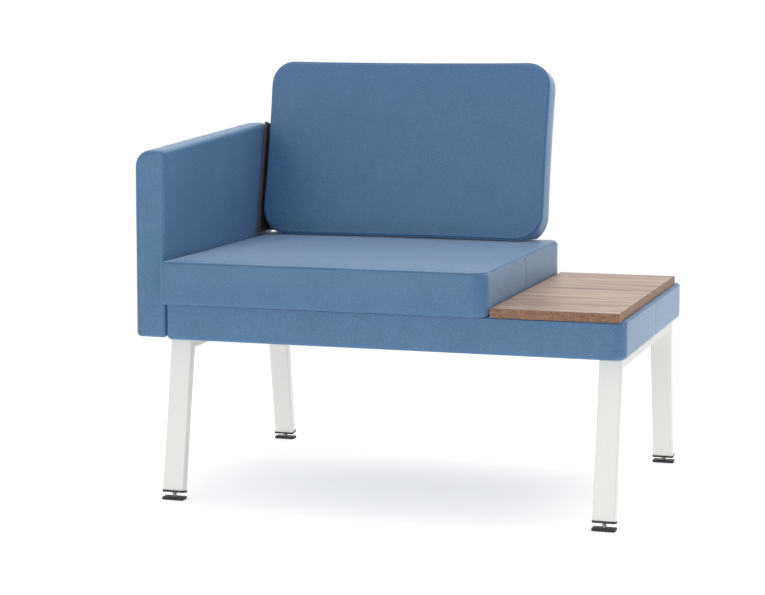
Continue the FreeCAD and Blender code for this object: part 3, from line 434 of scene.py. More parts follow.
class SoftBlock:
    """A rounded block in its own millimetres: x and y from the middle, z from its lower face.

    corners are the plan radii by the signs of x and y; low_edge and high_edge round the two rims. Each point
    keeps its inset from the outline and its level on the grid, which tell how far it is from a rim.
    """

    def __init__(self, size, corners, low_edge, high_edge, lines):
        self.size = size
        raw, self.quads = grid_skin(*lines)
        raw[:, :2] -= np.array(size[:2]) / 2
        self.grid = raw
        reach = np.array(size[:2]) / 2 - np.abs(raw[:, :2])
        self.inset, self.level = reach.min(axis=1), raw[:, 2]
        # Rims: in profile, the corner between inset and height turns to a quarter disc
        inset, height = self.inset.copy(), self.level.copy()
        for edge, gap, up in ((low_edge, self.level, -1), (high_edge, size[2] - self.level, 1)):
            near = (self.inset < edge) & (gap < edge)
            out, over = square_to_disc(1 - self.inset[near] / edge, 1 - gap[near] / edge)
            inset[near] = edge * (1 - out)
            height[near] = edge * (1 - over) if up < 0 else size[2] - edge * (1 - over)
        # Upright corners: in plan, points near a corner move to arcs round that corner's centre
        signs = np.where(raw[:, :2] < 0, -1, 1)
        radius = np.array([corners[tuple(pair)] for pair in signs.tolist()])
        flat = np.abs(raw[:, :2])
        nearest = np.argmin(reach, axis=1)
        rows = np.arange(len(raw))
        flat[rows, nearest] = np.array(size[:2])[nearest] / 2 - inset
        turning = (reach < radius[:, None]).all(axis=1)
        share = np.maximum(1 - self.inset / radius, 1e-9)
        aim_x, aim_y = square_to_disc(*[np.clip((1 - reach[:, k] / radius) / share, 0, 1) for k in (0, 1)])
        for k, aim in ((0, aim_x), (1, aim_y)):
            arc = size[k] / 2 - radius + (radius - inset) * aim
            flat[turning, k] = arc[turning]
        self.points = np.column_stack([flat * signs, height])

    def crown(self, rise, edge, power=2.6):
        """Raise the upper face towards its middle."""
        share = np.abs(self.grid[:, :2]) / (np.array(self.size[:2]) / 2)
        over = np.clip((self.level - self.size[2] + edge) / edge, 0, 1)
        self.points[:, 2] += rise * over * (1 - share[:, 0] ** power) * (1 - share[:, 1] ** power)

    def draw_in(self, pull):
        """Pull the sides in between the corners."""
        half = np.array(self.size[:2]) / 2
        share = self.points[:, :2] / half
        self.points[:, 0] -= pull * share[:, 0] * (1 - share[:, 1] ** 2)
        self.points[:, 1] -= pull * share[:, 1] * (1 - share[:, 0] ** 2)

    def from_high_rim(self):
        return np.maximum(self.inset, self.size[2] - self.level)

    def from_low_rim(self):
        return np.maximum(self.inset, self.level)


# %% [markdown]
# ## From points to an object
# A mesh holds the points, and an object puts it into the scene. All pieces keep their place in the mesh,
# so every object stays at the origin.

# %% Objects


def add_object(name, data):
    item = bpy.data.objects.new(name, data)
    bpy.context.scene.collection.objects.link(item)
    return item


def mesh_object(name, points, quads, material):
    mesh = bpy.data.meshes.new(name)
    mesh.from_pydata([tuple(point) for point in points], [], quads)
    mesh.shade_smooth()
    mesh.materials.append(material)
    return add_object(name, mesh)


# %% [markdown]
# ## Letting the cushions swell
# Foam presses a cover outwards and the seams hold it back, so a real cushion bulges a little between
# seams. Cloth simulation does the same: the block is blown up from inside for twenty frames with its
# seams and its underside held. It runs on a coarse copy, which is quick and free of the small cells
# beside the seams, and the fine block takes over the movement of the nearest coarse points, limited so
# that the cushion keeps its size.

# %% Cloth under pressure
PRESSURE = 4
LAST_FRAME = 20
NEIGHBOURS = 6
HELD_WITHIN = 2


def blown_up(coarse, rest):
    """Movement of each coarse point, in metres, when the block is blown up from where it rests."""
    item = mesh_object("swelling", rest, coarse.quads, finishes["blue_fabric"])
    held = item.vertex_groups.new(name="held")
    from_rims = np.minimum(coarse.from_high_rim(), coarse.from_low_rim())
    fixed = (from_rims < HELD_WITHIN) | (coarse.level <= 0)
    held.add([int(i) for i in np.flatnonzero(fixed)], 1.0, "REPLACE")
    cloth = item.modifiers.new("cloth", "CLOTH")
    cloth.settings.vertex_group_mass = "held"
    cloth.settings.use_pressure = True
    cloth.settings.uniform_pressure_force = PRESSURE
    cloth.settings.effector_weights.gravity = 0
    cloth.collision_settings.use_collision = False
    cloth.point_cache.frame_end = LAST_FRAME
    for number in range(1, LAST_FRAME + 1):
        bpy.context.scene.frame_set(number)
    result = item.evaluated_get(bpy.context.evaluated_depsgraph_get())
    moved = np.array([vertex.co for vertex in result.data.vertices]) - rest
    bpy.data.objects.remove(item)
    bpy.context.scene.frame_set(1)
    return moved


# %% From the coarse block to the fine one


def swell(coarse, to_world, cap_mm):
    """Blow the coarse block up and return a function that gives the movement at a point, in metres."""
    rest = to_world(coarse.points)
    moved = blown_up(coarse, rest)
    length = np.maximum(np.linalg.norm(moved, axis=1), 1e-9)
    cap = cap_mm * MM
    moved *= (cap * np.tanh(length / cap) / length)[:, None]
    tree = kdtree.KDTree(len(rest))
    for number, point in enumerate(rest):
        tree.insert(point, number)
    tree.balance()

    def movement(point):
        near = tree.find_n(point, NEIGHBOURS)
        weights = [1 / (distance + MM) ** 2 for _, _, distance in near]
        total = sum(weight * moved[number] for weight, (_, number, _) in zip(weights, near))
        return Vector(total / sum(weights))

    print("  swells up to", round(1000 * float(np.linalg.norm(moved, axis=1).max()), 2), "mm")
    return movement


# %% [markdown]
# ## Sewing
# A boxed cushion has a seam along its rim, where the top panel meets the side band. Seen close it is a
# dark valley between two soft rolls, because the cloth turns inwards on both sides. An upright seam in
# the side band lies in a wider hollow, as the padding gives way on both sides of it. Both are real
# relief: points move along their normals by a profile that depends only on their distance from the seam.

# %% Seam profiles
VALLEY_MM, VALLEY_WIDE_MM = 1.9, 1.1
ROLL_MM, ROLL_WIDE_MM, ROLL_AWAY_MM = 0.8, 2.0, 3.2
HOLLOW_MM, HOLLOW_WIDE_MM = 0.72, 4.0
CREASE_MM, CREASE_WIDE_MM = 1.28, 1.2


def hump(distance_mm, high, wide):
    return high * np.exp(-(distance_mm / wide) ** 2)


def rim_seam(distance_mm, depth=1.0):
    """Height over the smooth cloth, in mm, at a distance from the seam along a rim."""
    return depth * (hump(distance_mm - ROLL_AWAY_MM, ROLL_MM, ROLL_WIDE_MM)
                    - hump(distance_mm, VALLEY_MM, VALLEY_WIDE_MM))


def band_seam(distance_mm):
    """The same for an upright seam in the side band."""
    hollow = hump(distance_mm, HOLLOW_MM, HOLLOW_WIDE_MM)
    return -(hollow + hump(distance_mm, CREASE_MM, CREASE_WIDE_MM))


print("rim seams", VALLEY_MM, "mm deep, upright seams", HOLLOW_MM + CREASE_MM, "mm")

# %% Relief and seam lines


def lift(item, height_mm):
    """Move each vertex along its normal."""
    normals = np.array([vertex.normal for vertex in item.data.vertices])
    for vertex, normal, height in zip(item.data.vertices, normals, height_mm):
        vertex.co += Vector(normal) * float(height) * MM


ON_LINE = 0.01
seams, highlight_thread_rows = [], []


def add_seam(item, block, distance_mm):
    """Remember the line of a rim seam, in order round the block, for the thread."""
    on_rim = np.flatnonzero(distance_mm < ON_LINE)
    turn = np.arctan2(block.grid[on_rim, 1] / block.size[1], block.grid[on_rim, 0] / block.size[0])
    seams.append([item.data.vertices[int(number)].co.copy() for number in on_rim[np.argsort(turn)]])


# %% [markdown]
# ## Upright seams
# The side band of the seat and of the platform is joined half way along each end. On the right, where it
# is seen, a row of near-white stitches runs a few millimetres in front of the crease and stops short of
# both rims; its pale colour is a painted highlight along the seam's rounded edge. Its line is picked from
# the grid, because the grid has lines beside each seam.

# %% Upright seams and topstitch lines
HIGHLIGHT_THREAD_AWAY = SEAM_LINES[4]
SIDE_SEAM_STOP, HIGHLIGHT_THREAD_STOP = 1, 5


def side_seam(block, seam_at):
    """Relief of an upright seam on the two end faces, seam_at from the front."""
    on_end = np.abs(np.abs(block.grid[:, 0]) - block.size[0] / 2) < ON_LINE
    on_band = block.from_high_rim() > SIDE_SEAM_STOP
    away = np.abs(block.grid[:, 1] + block.size[1] / 2 - seam_at)
    return np.where(on_end & on_band, band_seam(away), 0)


def add_highlight_thread(item, block, seam_at):
    """Remember the line beside the right-hand upright seam, from low to high; the left one is hidden."""
    column = np.abs(block.grid[:, 1] + block.size[1] / 2 - seam_at + HIGHLIGHT_THREAD_AWAY) < ON_LINE
    on_band = (block.from_high_rim() > HIGHLIGHT_THREAD_STOP) & (block.from_low_rim() > HIGHLIGHT_THREAD_STOP)
    row = np.flatnonzero(column & on_band & (np.abs(block.grid[:, 0] - block.size[0] / 2) < ON_LINE))
    order = row[np.argsort(block.level[row])]
    highlight_thread_rows.append([item.data.vertices[int(number)].co.copy() for number in order])


print("topstitching", HIGHLIGHT_THREAD_AWAY, "mm from the crease")

# %% [markdown]
# ## Putting a cushion together
# Every cushion takes the same steps: swell the block, make the mesh, press the seams in, and let a
# Subdivision Surface modifier smooth what the grid left angular.

# %% Upholstery steps


def subdivide(item):
    finer = item.modifiers.new("finer", "SUBSURF")
    finer.levels = finer.render_levels = 1


def upholstered(name, block, coarse, to_world, cap_mm, relief):
    """The padded piece: block swollen as its coarse twin is, sewn with relief and made finer."""
    movement = swell(coarse, to_world, cap_mm)
    points = [Vector(point) + movement(point) for point in to_world(block.points)]
    item = mesh_object(name, points, block.quads, finishes["blue_fabric"])
    lift(item, relief)
    subdivide(item)
    print(name, len(item.data.polygons), "faces")
    return item


# %% [markdown]
# ## The seat cushion
# A boxed foam cushion, 610 by 590 mm, with a low crown. It overhangs the platform at the front, and its
# side band is joined by an upright seam half way along each side. It is flat underneath, where it is
# screwed down. Its corners are well rounded at the table and tight beside the armrest.

# %% Seat sizes
SEAT_CORNER, SEAT_ARM_CORNER, SEAT_LOW_EDGE, SEAT_EDGE = 26, 8, 10, 9
SEAT_CROWN, SEAT_PULL, SEAT_SWELL = 1.8, 2.6, 2.0
SEAT_SIDE_SEAM = 298
SEAT_LIFT, SEAT_SIDE_GAP = 0.4, 0.5
seat_start, seat_size = sizes_mm("seat_cover")
seat_size = (seat_size[0] - 2 * SEAT_SIDE_GAP, seat_size[1], seat_size[2] - SEAT_CROWN - SEAT_SWELL)
print("seat", [round(float(side), 1) for side in seat_size], "mm before it swells")

# %% Seat block


def seat_world(points):
    middle = seat_start + np.array([SEAT_SIDE_GAP + seat_size[0] / 2, seat_size[1] / 2, SEAT_LIFT])
    return np.array([place(*(point + middle)) for point in points])


def seat_block(low, high, step, marks=()):
    lines = (grid_lines(seat_size[0], high, high, step),
             grid_lines(seat_size[1], high, high, step, marks),
             grid_lines(seat_size[2], low, high[:6], step))
    corners = four_corners(SEAT_ARM_CORNER, SEAT_CORNER, SEAT_ARM_CORNER, SEAT_CORNER)
    block = SoftBlock(seat_size, corners, SEAT_LOW_EDGE, SEAT_EDGE, lines)
    block.crown(SEAT_CROWN, SEAT_EDGE)
    block.draw_in(SEAT_PULL)
    return block


COARSE_RIM = (0, 4.5, 9, 18, 30)
COARSE_STEP = 24
seat = seat_block(PLAIN_RIM[:5], SEWN_RIM, FLAT_STEP, (SEAT_SIDE_SEAM,))
seat_coarse = seat_block(COARSE_RIM[:3], COARSE_RIM, COARSE_STEP)
print("seat block", len(seat.points), "points, coarse", len(seat_coarse.points))

# %% Seat cushion
seat_cushion = upholstered("seat_cushion", seat, seat_coarse, seat_world, SEAT_SWELL,
                           rim_seam(seat.from_high_rim()) + side_seam(seat, SEAT_SIDE_SEAM))
add_seam(seat_cushion, seat, seat.from_high_rim())
add_highlight_thread(seat_cushion, seat, SEAT_SIDE_SEAM)
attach(seat_cushion, "bench")
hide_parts("seat_cover", "seat_foam")

# %% [markdown]
# ## The back cushion
# The same construction, thinner and with large corners, standing on the seat and leaning back by 12
# degrees. It is built lying down, then turned up, and everything below the seat's top is pushed up level:
# that is the flat foot on which it rests.

# %% Back sizes
BACK_HEIGHT, BACK_THICK, BACK_LEAN = 357, 60, 12
BACK_LOW_CORNER, BACK_TOP_CORNER, BACK_EDGE = 57, 48, 9
BACK_CROWN, BACK_PULL, BACK_SWELL = 2.4, 2.2, 2.4
BACK_FRONT_AT = 461
BACK_REST_GAP = 0.4
BACK_REAR_SEAM = 0.8
BACK_CORNER_LINES = (38, 47, 56)
back_start, back_box = sizes_mm("back_cover")
seat_top = float(seat_start[2] + sizes_mm("seat_cover")[1][2])
back_size = (float(back_box[0]), BACK_HEIGHT, BACK_THICK)
back_turn = Matrix.Rotation(math.radians(90 - BACK_LEAN), 3, "X")
back_floor = float(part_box("back_cover")[0].z) + BACK_REST_GAP * MM
print("back", [round(side) for side in back_size], "mm, leaning by", BACK_LEAN, "degrees")

# %% Back block


def back_world(points):
    foot = place(back_start[0] + back_size[0] / 2, BACK_FRONT_AT, seat_top)
    origin = foot - back_turn @ Vector((0, -BACK_HEIGHT / 2, BACK_THICK)) * MM
    turned = [origin + back_turn @ Vector(point) * MM for point in points]
    return np.array([(spot.x, spot.y, max(spot.z, back_floor)) for spot in turned])


def back_block(rim, face, step):
    """rim gives the grid lines beside the four edges, face those beside the front and rear faces."""
    lines = (grid_lines(back_size[0], rim, rim, step),
             grid_lines(back_size[1], rim, rim, step),
             grid_lines(back_size[2], face, face, step))
    corners = four_corners(BACK_LOW_CORNER, BACK_LOW_CORNER, BACK_TOP_CORNER, BACK_TOP_CORNER)
    block = SoftBlock(back_size, corners, BACK_EDGE, BACK_EDGE, lines)
    block.crown(BACK_CROWN, BACK_EDGE)
    block.draw_in(BACK_PULL)
    return block


back = back_block(SEWN_RIM + BACK_CORNER_LINES, SEWN_RIM[:6], FLAT_STEP)
back_coarse = back_block(COARSE_RIM + BACK_CORNER_LINES[-1:], COARSE_RIM[:3], COARSE_STEP)
print("back block", len(back.points), "points, coarse", len(back_coarse.points))

# %% Back cushion
back_cushion = upholstered("back_cushion", back, back_coarse, back_world, BACK_SWELL,
                           rim_seam(back.from_high_rim()) + rim_seam(back.from_low_rim(), BACK_REAR_SEAM))
add_seam(back_cushion, back, back.from_high_rim())
add_seam(back_cushion, back, back.from_low_rim())
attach(back_cushion, "bench")
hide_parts("back_cover", "back_foam")

# %% [markdown]
# ## The armrest
# A padded panel. Its front is the shape that the eye reads: a large round on the outer top corner and
# small ones elsewhere. So the block is drawn in front view and made long front to back. Its top then
# rises by 3 degrees and rolls down at the rear. The cover closes with a seam round its rear face.

# %% Armrest sizes
ARM_EDGE, ARM_OUTER_ROUND, ARM_REAR_ROUND = 9.5, 31, 45
ARM_RISE = math.radians(3)
ARM_SWELL = 1.0
ARM_FRONT_HEIGHT = 345
ARM_ROLL_ZONE = 130
ARM_SEAM_DEPTH = 0.8
ARM_ROLL_LINES = (36, 45)
arm_start, arm_box = sizes_mm("arm_cover")
arm_size = (float(arm_box[0]) - ARM_SWELL, ARM_FRONT_HEIGHT, float(arm_box[1]))
arm_corners = four_corners(ARM_EDGE, rear_left=ARM_OUTER_ROUND)
print("armrest", [round(side) for side in arm_size], "mm, drawn in front view")

# %% Armrest block


def arm_world(points):
    """Front view (x, height) and depth, with the rising top and the rear roll put in."""
    placed = []
    for across, height, depth in points:
        share = (height + ARM_FRONT_HEIGHT / 2) / ARM_FRONT_HEIGHT
        past = max(0.0, depth - arm_size[2] + ARM_REAR_ROUND)
        roll = ARM_REAR_ROUND - math.sqrt(max(0.0, ARM_REAR_ROUND ** 2 - past ** 2))
        in_zone = min(1.0, max(0.0, 1 - (1 - share) * ARM_FRONT_HEIGHT / ARM_ROLL_ZONE))
        rise = share * depth * math.tan(ARM_RISE) - roll * in_zone
        placed.append(place(arm_start[0] + arm_box[0] / 2 + across, arm_start[1] + depth,
                            arm_start[2] + share * ARM_FRONT_HEIGHT + rise))
    return np.array(placed)


def arm_block(rim, front, rear, step):
    """rim gives the grid lines beside the edges in front view, front and rear those beside the ends."""
    lines = (grid_lines(arm_size[0], rim[:-1], rim[:-1], step),
             grid_lines(arm_size[1], rim, rim, step),
             grid_lines(arm_size[2], front, rear, step))
    return SoftBlock(arm_size, arm_corners, ARM_EDGE, ARM_EDGE, lines)


arm = arm_block(PLAIN_RIM, PLAIN_RIM, SEWN_RIM + ARM_ROLL_LINES, FLAT_STEP)
arm_coarse = arm_block(COARSE_RIM, COARSE_RIM[:4], COARSE_RIM + ARM_ROLL_LINES[-1:], COARSE_STEP)
print("armrest block", len(arm.points), "points, coarse", len(arm_coarse.points))

# %% Armrest pad
arm_pad = upholstered("armrest_pad", arm, arm_coarse, arm_world, ARM_SWELL,
                      rim_seam(arm.from_high_rim(), ARM_SEAM_DEPTH))
add_seam(arm_pad, arm, arm.from_high_rim())
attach(arm_pad, "bench")
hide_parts("arm_cover", "arm_foam")

# %% [markdown]
# ## The platform's cover
# Felt over thin wadding, pulled tight over a timber frame and stapled underneath, so it stays flat and
# needs no simulation. The block's lower face is cut away inside the hem, and a Solidify modifier gives
# the cloth and its wadding their thickness.

# %% Platform block
COVER_CORNER, COVER_ARM_CORNER, COVER_LOW_EDGE, COVER_EDGE = 24, 6, 9, 4
COVER_THICK = 2.2
COVER_SIDE_SEAM = 292
COVER_SEAM_DEPTH = 0.6
HEM_WIDE = 40
COVER_RIM = SEWN_RIM + (HEM_WIDE,)
COVER_STEP = 1.5 * FLAT_STEP
cover_start, cover_size = sizes_mm("base_cover")
cover_lines = (grid_lines(cover_size[0], COVER_RIM, COVER_RIM, COVER_STEP),
               grid_lines(cover_size[1], COVER_RIM, COVER_RIM, COVER_STEP, (COVER_SIDE_SEAM,)),
               grid_lines(cover_size[2], PLAIN_RIM[:5], SEWN_RIM[:6], FLAT_STEP))
cover_corners = four_corners(COVER_ARM_CORNER, COVER_CORNER, COVER_ARM_CORNER, COVER_CORNER)
cover = SoftBlock(tuple(cover_size), cover_corners, COVER_LOW_EDGE, COVER_EDGE, cover_lines)
print("platform block", len(cover.points), "points")

# %% Cut and sewn cover
hidden = (cover.inset > HEM_WIDE - ON_LINE) & (cover.level <= 0)
shell_quads = [quad for quad in cover.quads if not hidden[quad].all()]
cover_middle = cover_start + np.array([cover_size[0] / 2, cover_size[1] / 2, 0])
cover_points = np.array([place(*(point + cover_middle)) for point in cover.points])
platform_cover = mesh_object("platform_cover", cover_points, shell_quads, finishes["blue_fabric"])
lift(platform_cover, rim_seam(cover.from_high_rim(), COVER_SEAM_DEPTH) + side_seam(cover, COVER_SIDE_SEAM))
add_seam(platform_cover, cover, cover.from_high_rim())
add_highlight_thread(platform_cover, cover, COVER_SIDE_SEAM)
print(int(hidden.sum()), "points of the lower face lie inside the hem")

# %% Platform cover
cleaner = bmesh.new()
cleaner.from_mesh(platform_cover.data)
loose = [vertex for vertex in cleaner.verts if not vertex.link_faces]
bmesh.ops.delete(cleaner, geom=loose, context="VERTS")
cleaner.to_mesh(platform_cover.data)
cleaner.free()
cloth_wall = platform_cover.modifiers.new("cloth_wall", "SOLIDIFY")
cloth_wall.thickness = COVER_THICK * MM
cloth_wall.offset = -1
subdivide(platform_cover)
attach(platform_cover, "bench")
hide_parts("base_cover")
print("platform cover", len(platform_cover.data.polygons), "faces")

# %% [markdown]
# ## The dust cover
# A black spunbonded sheet closes the platform's underside. It is stapled along its edges and sags by a
# few millimetres in the middle. A grid with one formula for the sag is all that it needs.

# %% Dust cover grid
DUST_SAG, DUST_RAISE = 3.0, 0.3
DUST_COLUMNS, DUST_ROWS = 48, 32
dust_low, dust_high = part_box("base_dust_cover")
dust_points, dust_quads = [], []
for row in range(DUST_ROWS + 1):
    for column in range(DUST_COLUMNS + 1):
        u, v = column / DUST_COLUMNS, row / DUST_ROWS
        slack = (4 * u * (1 - u)) ** 2 * (4 * v * (1 - v)) ** 2
        dust_points.append((dust_low.x + u * (dust_high.x - dust_low.x),
                            dust_low.y + v * (dust_high.y - dust_low.y),
                            dust_low.z + (DUST_RAISE - DUST_SAG * slack) * MM))
for row in range(DUST_ROWS):
    for column in range(DUST_COLUMNS):
        first = row * (DUST_COLUMNS + 1) + column
        dust_quads.append((first, first + DUST_COLUMNS + 1, first + DUST_COLUMNS + 2, first + 1))
print("dust cover", len(dust_quads), "faces, sagging by", DUST_SAG, "mm")

# %% Dust cover
dust_sheet = mesh_object("dust_cover_sheet", dust_points, dust_quads, finishes["dust_cloth"])
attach(dust_sheet, "bench")
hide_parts("base_dust_cover")

# %% [markdown]
# ## The side table
# A 16 mm panel with thin edge bands glued round it. The CAD solids have knife edges. A real band is
# trimmed with a small round, which catches a thin line of light, so panel and bands are remade with
# bevelled edges.

# %% Bevelled boxes
BAND_ROUND = 0.3
PANEL_ROUND = 0.25


def bevelled_boxes(name, boxes, bevel_mm, material):
    """One mesh of bevelled boxes, each given by its two corners."""
    mesh_maker = bmesh.new()
    for low, high in boxes:
        made = bmesh.ops.create_cube(mesh_maker, size=1)["verts"]
        size = high - low
        for vertex in made:
            vertex.co = low + Vector([(vertex.co[k] + 0.5) * size[k] for k in range(3)])
        edges = list({edge for vertex in made for edge in vertex.link_edges})
        bmesh.ops.bevel(mesh_maker, geom=edges, offset=bevel_mm * MM, segments=2, profile=0.5, affect="EDGES")
    mesh = bpy.data.meshes.new(name)
    mesh_maker.to_mesh(mesh)
    mesh_maker.free()
    mesh.materials.append(material)
    return add_object(name, mesh)


print("bands rounded by", BAND_ROUND, "mm, the panel by", PANEL_ROUND, "mm")

# %% Table panel and bands
panel_low, panel_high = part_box("table_panel")
band = panel_low.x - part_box("table_side_bands")[0].x
table_low, table_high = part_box("table_end_bands")
front_band = (table_low, Vector((table_high.x, table_low.y + band, table_high.z)))
rear_band = (Vector((table_low.x, table_high.y - band, table_low.z)), table_high)
left_band = (Vector((table_low.x, panel_low.y, table_low.z)),
             Vector((panel_low.x, panel_high.y, table_high.z)))
right_band = (Vector((panel_high.x, panel_low.y, table_low.z)),
              Vector((table_high.x, panel_high.y, table_high.z)))
for name, boxes, bevel, material in (
        ("table_panel", [(panel_low, panel_high)], PANEL_ROUND, finishes["wood_decor"]),
        ("table_end_bands", [front_band, rear_band], BAND_ROUND, shaded_band_finish),
        ("table_side_bands", [left_band, right_band], BAND_ROUND, shaded_band_finish)):
    piece = bevelled_boxes(f"{name}_edged", boxes, bevel, material)
    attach(piece, "bench")
    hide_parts(name)
print("table", [round(1000 * (table_high - table_low)[k]) for k in range(3)], "mm")

# %% [markdown]
# ## Growing what repeats
# Stitches, threads and staples are one small shape again and again along a line. Geometry Nodes do that
# well: a tree takes the line and a few named sizes, and the result is taken over as a plain mesh. The
# helpers make an empty tree with named inputs, set those inputs by their identifiers, and convert.

# %% Trees with named inputs


def new_growth(name, **inputs):
    """A Geometry Nodes tree with these named inputs, given as socket kinds, and its group input's outputs."""
    tree = bpy.data.node_groups.new(name, "GeometryNodeTree")
    for label, kind in {"Geometry": "Geometry", **inputs}.items():
        tree.interface.new_socket(label, in_out="INPUT", socket_type=f"NodeSocket{kind}")
    tree.interface.new_socket("Geometry", in_out="OUTPUT", socket_type="NodeSocketGeometry")
    return tree, node(tree, "NodeGroupInput").outputs


def close_growth(tree, geometry, material):
    """Realize the instances, set the material and hand the geometry to the group output."""
    solid = node(tree, "GeometryNodeRealizeInstances", {"Geometry": geometry})
    coated = node(tree, "GeometryNodeSetMaterial", {"Geometry": solid.outputs[0], "Material": material})
    node(tree, "NodeGroupOutput", {"Geometry": coated.outputs[0]})


# %% From a line to a grown mesh


def line_object(name, lines, closed=True):
    """Lines of edges as a mesh object; a closed line runs back to its start."""
    mesh = bpy.data.meshes.new(name)
    points, edges = [], []
    for line in lines:
        first = len(points)
        points += line
        steps = len(line) if closed else len(line) - 1
        edges += [(first + i, first + (i + 1) % len(line)) for i in range(steps)]
    mesh.from_pydata([tuple(point) for point in points], edges, [])
    return add_object(name, mesh)


def grow(name, carrier, tree, **values):
    """Run the tree on the carrier and return its result as a plain mesh object; the carrier goes."""
    growth = carrier.modifiers.new("growth", "NODES")
    growth.node_group = tree
    for socket in tree.interface.items_tree:
        if socket.in_out == "INPUT" and socket.name in values:
            growth[socket.identifier] = values[socket.name]
    grown = carrier.evaluated_get(bpy.context.evaluated_depsgraph_get())
    mesh = bpy.data.meshes.new_from_object(grown)
    bpy.data.objects.remove(carrier)
    mesh.name = name
    piece = add_object(name, mesh)
    print(name, len(mesh.polygons), "faces")
    return piece


# %% [markdown]
# ## A row along a line
# Stitches and staples share their row: the line becomes a curve, the curve becomes evenly spaced points,
# and a copy of the unit is put on each, turned along the line. A small random turn with a fixed seed
# keeps the row from looking stamped.

# %% Rows


def row_along_lines(tree, given, unit):
    """Copies of a unit, spaced along the lines of the carrier, its Z along the line, a little uneven."""
    curve = node(tree, "GeometryNodeMeshToCurve", {"Mesh": given["Geometry"]})
    spots = node(tree, "GeometryNodeCurveToPoints", {"Curve": curve.outputs[0], "Length": given["Spacing"]},
                 mode="LENGTH")
    along = node(tree, "FunctionNodeAlignRotationToVector", {"Vector": spots.outputs["Tangent"]}, axis="Z")
    least = node(tree, "ShaderNodeMath", {0: given["Wobble"], 1: -1.0}, operation="MULTIPLY")
    uneven = node(tree, "FunctionNodeRandomValue", {0: least.outputs["Value"], 1: given["Wobble"],
                                                    "Seed": given["Seed"]}, data_type="FLOAT_VECTOR")
    turned = node(tree, "FunctionNodeRotateRotation", {"Rotation": along.outputs[0],
                                                       "Rotate By": uneven.outputs[0]})
    return node(tree, "GeometryNodeInstanceOnPoints", {"Points": spots.outputs["Points"], "Instance": unit,
                                                       "Rotation": turned.outputs[0]}).outputs[0]


# %% [markdown]
# ## Thread in the seams
# The covers are sewn with a lockstitch, and in a seam's valley the thread shows as a row of short dashes.
# Each dash is an ellipsoid of a few faces, 3 mm long, laid every 4 mm along the lines that the sewing
# step kept. The upright seams in the side bands show a fine pale line in front of the crease, the
# highlight along the seam's rounded edge. It is painted in as a row of near-white stitches, with thicker
# thread and stitches that meet.

# %% Stitches
STITCH_EVERY, STITCH_LONG, STITCH_THICK = 4.0, 3.0, 0.8
HIGHLIGHT_THREAD_LONG, HIGHLIGHT_THREAD_THICK = 4.2, 1.7
STITCH_SEED, STITCH_WOBBLE = 7, 6
stitch_tree, given = new_growth("lockstitch", Spacing="Float", Half_Size="Vector", Wobble="Float", Seed="Int",
                                Finish="Material")
bead = node(stitch_tree, "GeometryNodeMeshUVSphere", {"Segments": 6, "Rings": 4, "Radius": 1.0})
dash = node(stitch_tree, "GeometryNodeTransform", {"Geometry": bead.outputs["Mesh"],
                                                   "Scale": given["Half_Size"]})
close_growth(stitch_tree, row_along_lines(stitch_tree, given, dash.outputs[0]), given["Finish"])
# The second row is near-white thread, a painted highlight along the upright seams
for name, lines, long, thick, finish in (
        ("seam_stitches", line_object("seam_lines", seams), STITCH_LONG, STITCH_THICK, thread_finish),
        ("side_seam_topstitch", line_object("highlight_thread_lines", highlight_thread_rows, closed=False), HIGHLIGHT_THREAD_LONG,
         HIGHLIGHT_THREAD_THICK, highlight_thread_finish)):
    half_size = (thick / 2 * MM, thick / 2 * MM, long / 2 * MM)
    stitches = grow(name, lines, stitch_tree, Spacing=STITCH_EVERY * MM, Half_Size=half_size,
                    Wobble=math.radians(STITCH_WOBBLE), Seed=STITCH_SEED, Finish=finish)
    stitches.data.shade_smooth()
    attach(stitches, "bench")

# %% [markdown]
# ## Threaded stems
# Each foot stands on an M8 stem that screws into the leg's end cap. CAD keeps the thread as a plain rod.
# Here a ridge follows a helix of the real pitch round a thinner core, right-handed, with the neck and the
# half ball that sits in the foot's plate. A Screw modifier could wind the ridge too, but a tree keeps the
# whole stem in one place, with its sizes as inputs.

# %% Thread and core
STEM_CREST, STEM_CORE = 4.0, 3.3
RIDGE_RADIUS = 0.6
STEM_LENGTH, NECK_LENGTH, NECK_RADIUS, BALL_RADIUS = 46, 4.0, 2.2, 4.0
# Neck holds a radius as X and a length as Z
stem_tree, given = new_growth("threaded_stem", Pitch="Float", Length="Float", Core="Float", Crest="Float",
                              Ridge="Float", Neck="Vector", Ball="Float", Place="Vector", Turn="Rotation",
                              Finish="Material")
turns = node(stem_tree, "ShaderNodeMath", {0: given["Length"], 1: given["Pitch"]}, operation="DIVIDE")
middle_line = node(stem_tree, "ShaderNodeMath", {0: given["Crest"], 1: given["Ridge"]}, operation="SUBTRACT")
helix = node(stem_tree, "GeometryNodeCurveSpiral", {"Resolution": 14, "Rotations": turns.outputs["Value"],
                                                    "Start Radius": middle_line.outputs["Value"],
                                                    "End Radius": middle_line.outputs["Value"],
                                                    "Height": given["Length"], "Reverse": True})
upright = node(stem_tree, "GeometryNodeSetCurveNormal", {"Curve": helix.outputs[0]}, mode="Z_UP")
diamond = node(stem_tree, "GeometryNodeCurvePrimitiveCircle", {"Resolution": 4, "Radius": given["Ridge"]})
ridge = node(stem_tree, "GeometryNodeCurveToMesh", {"Curve": upright.outputs[0], "Fill Caps": True,
                                                    "Profile Curve": diamond.outputs["Curve"]})
core = node(stem_tree, "GeometryNodeMeshCylinder", {"Vertices": 24, "Radius": given["Core"],
                                                    "Depth": given["Length"]})
print("the thread stands", round(STEM_CREST - STEM_CORE, 2), "mm over its core")

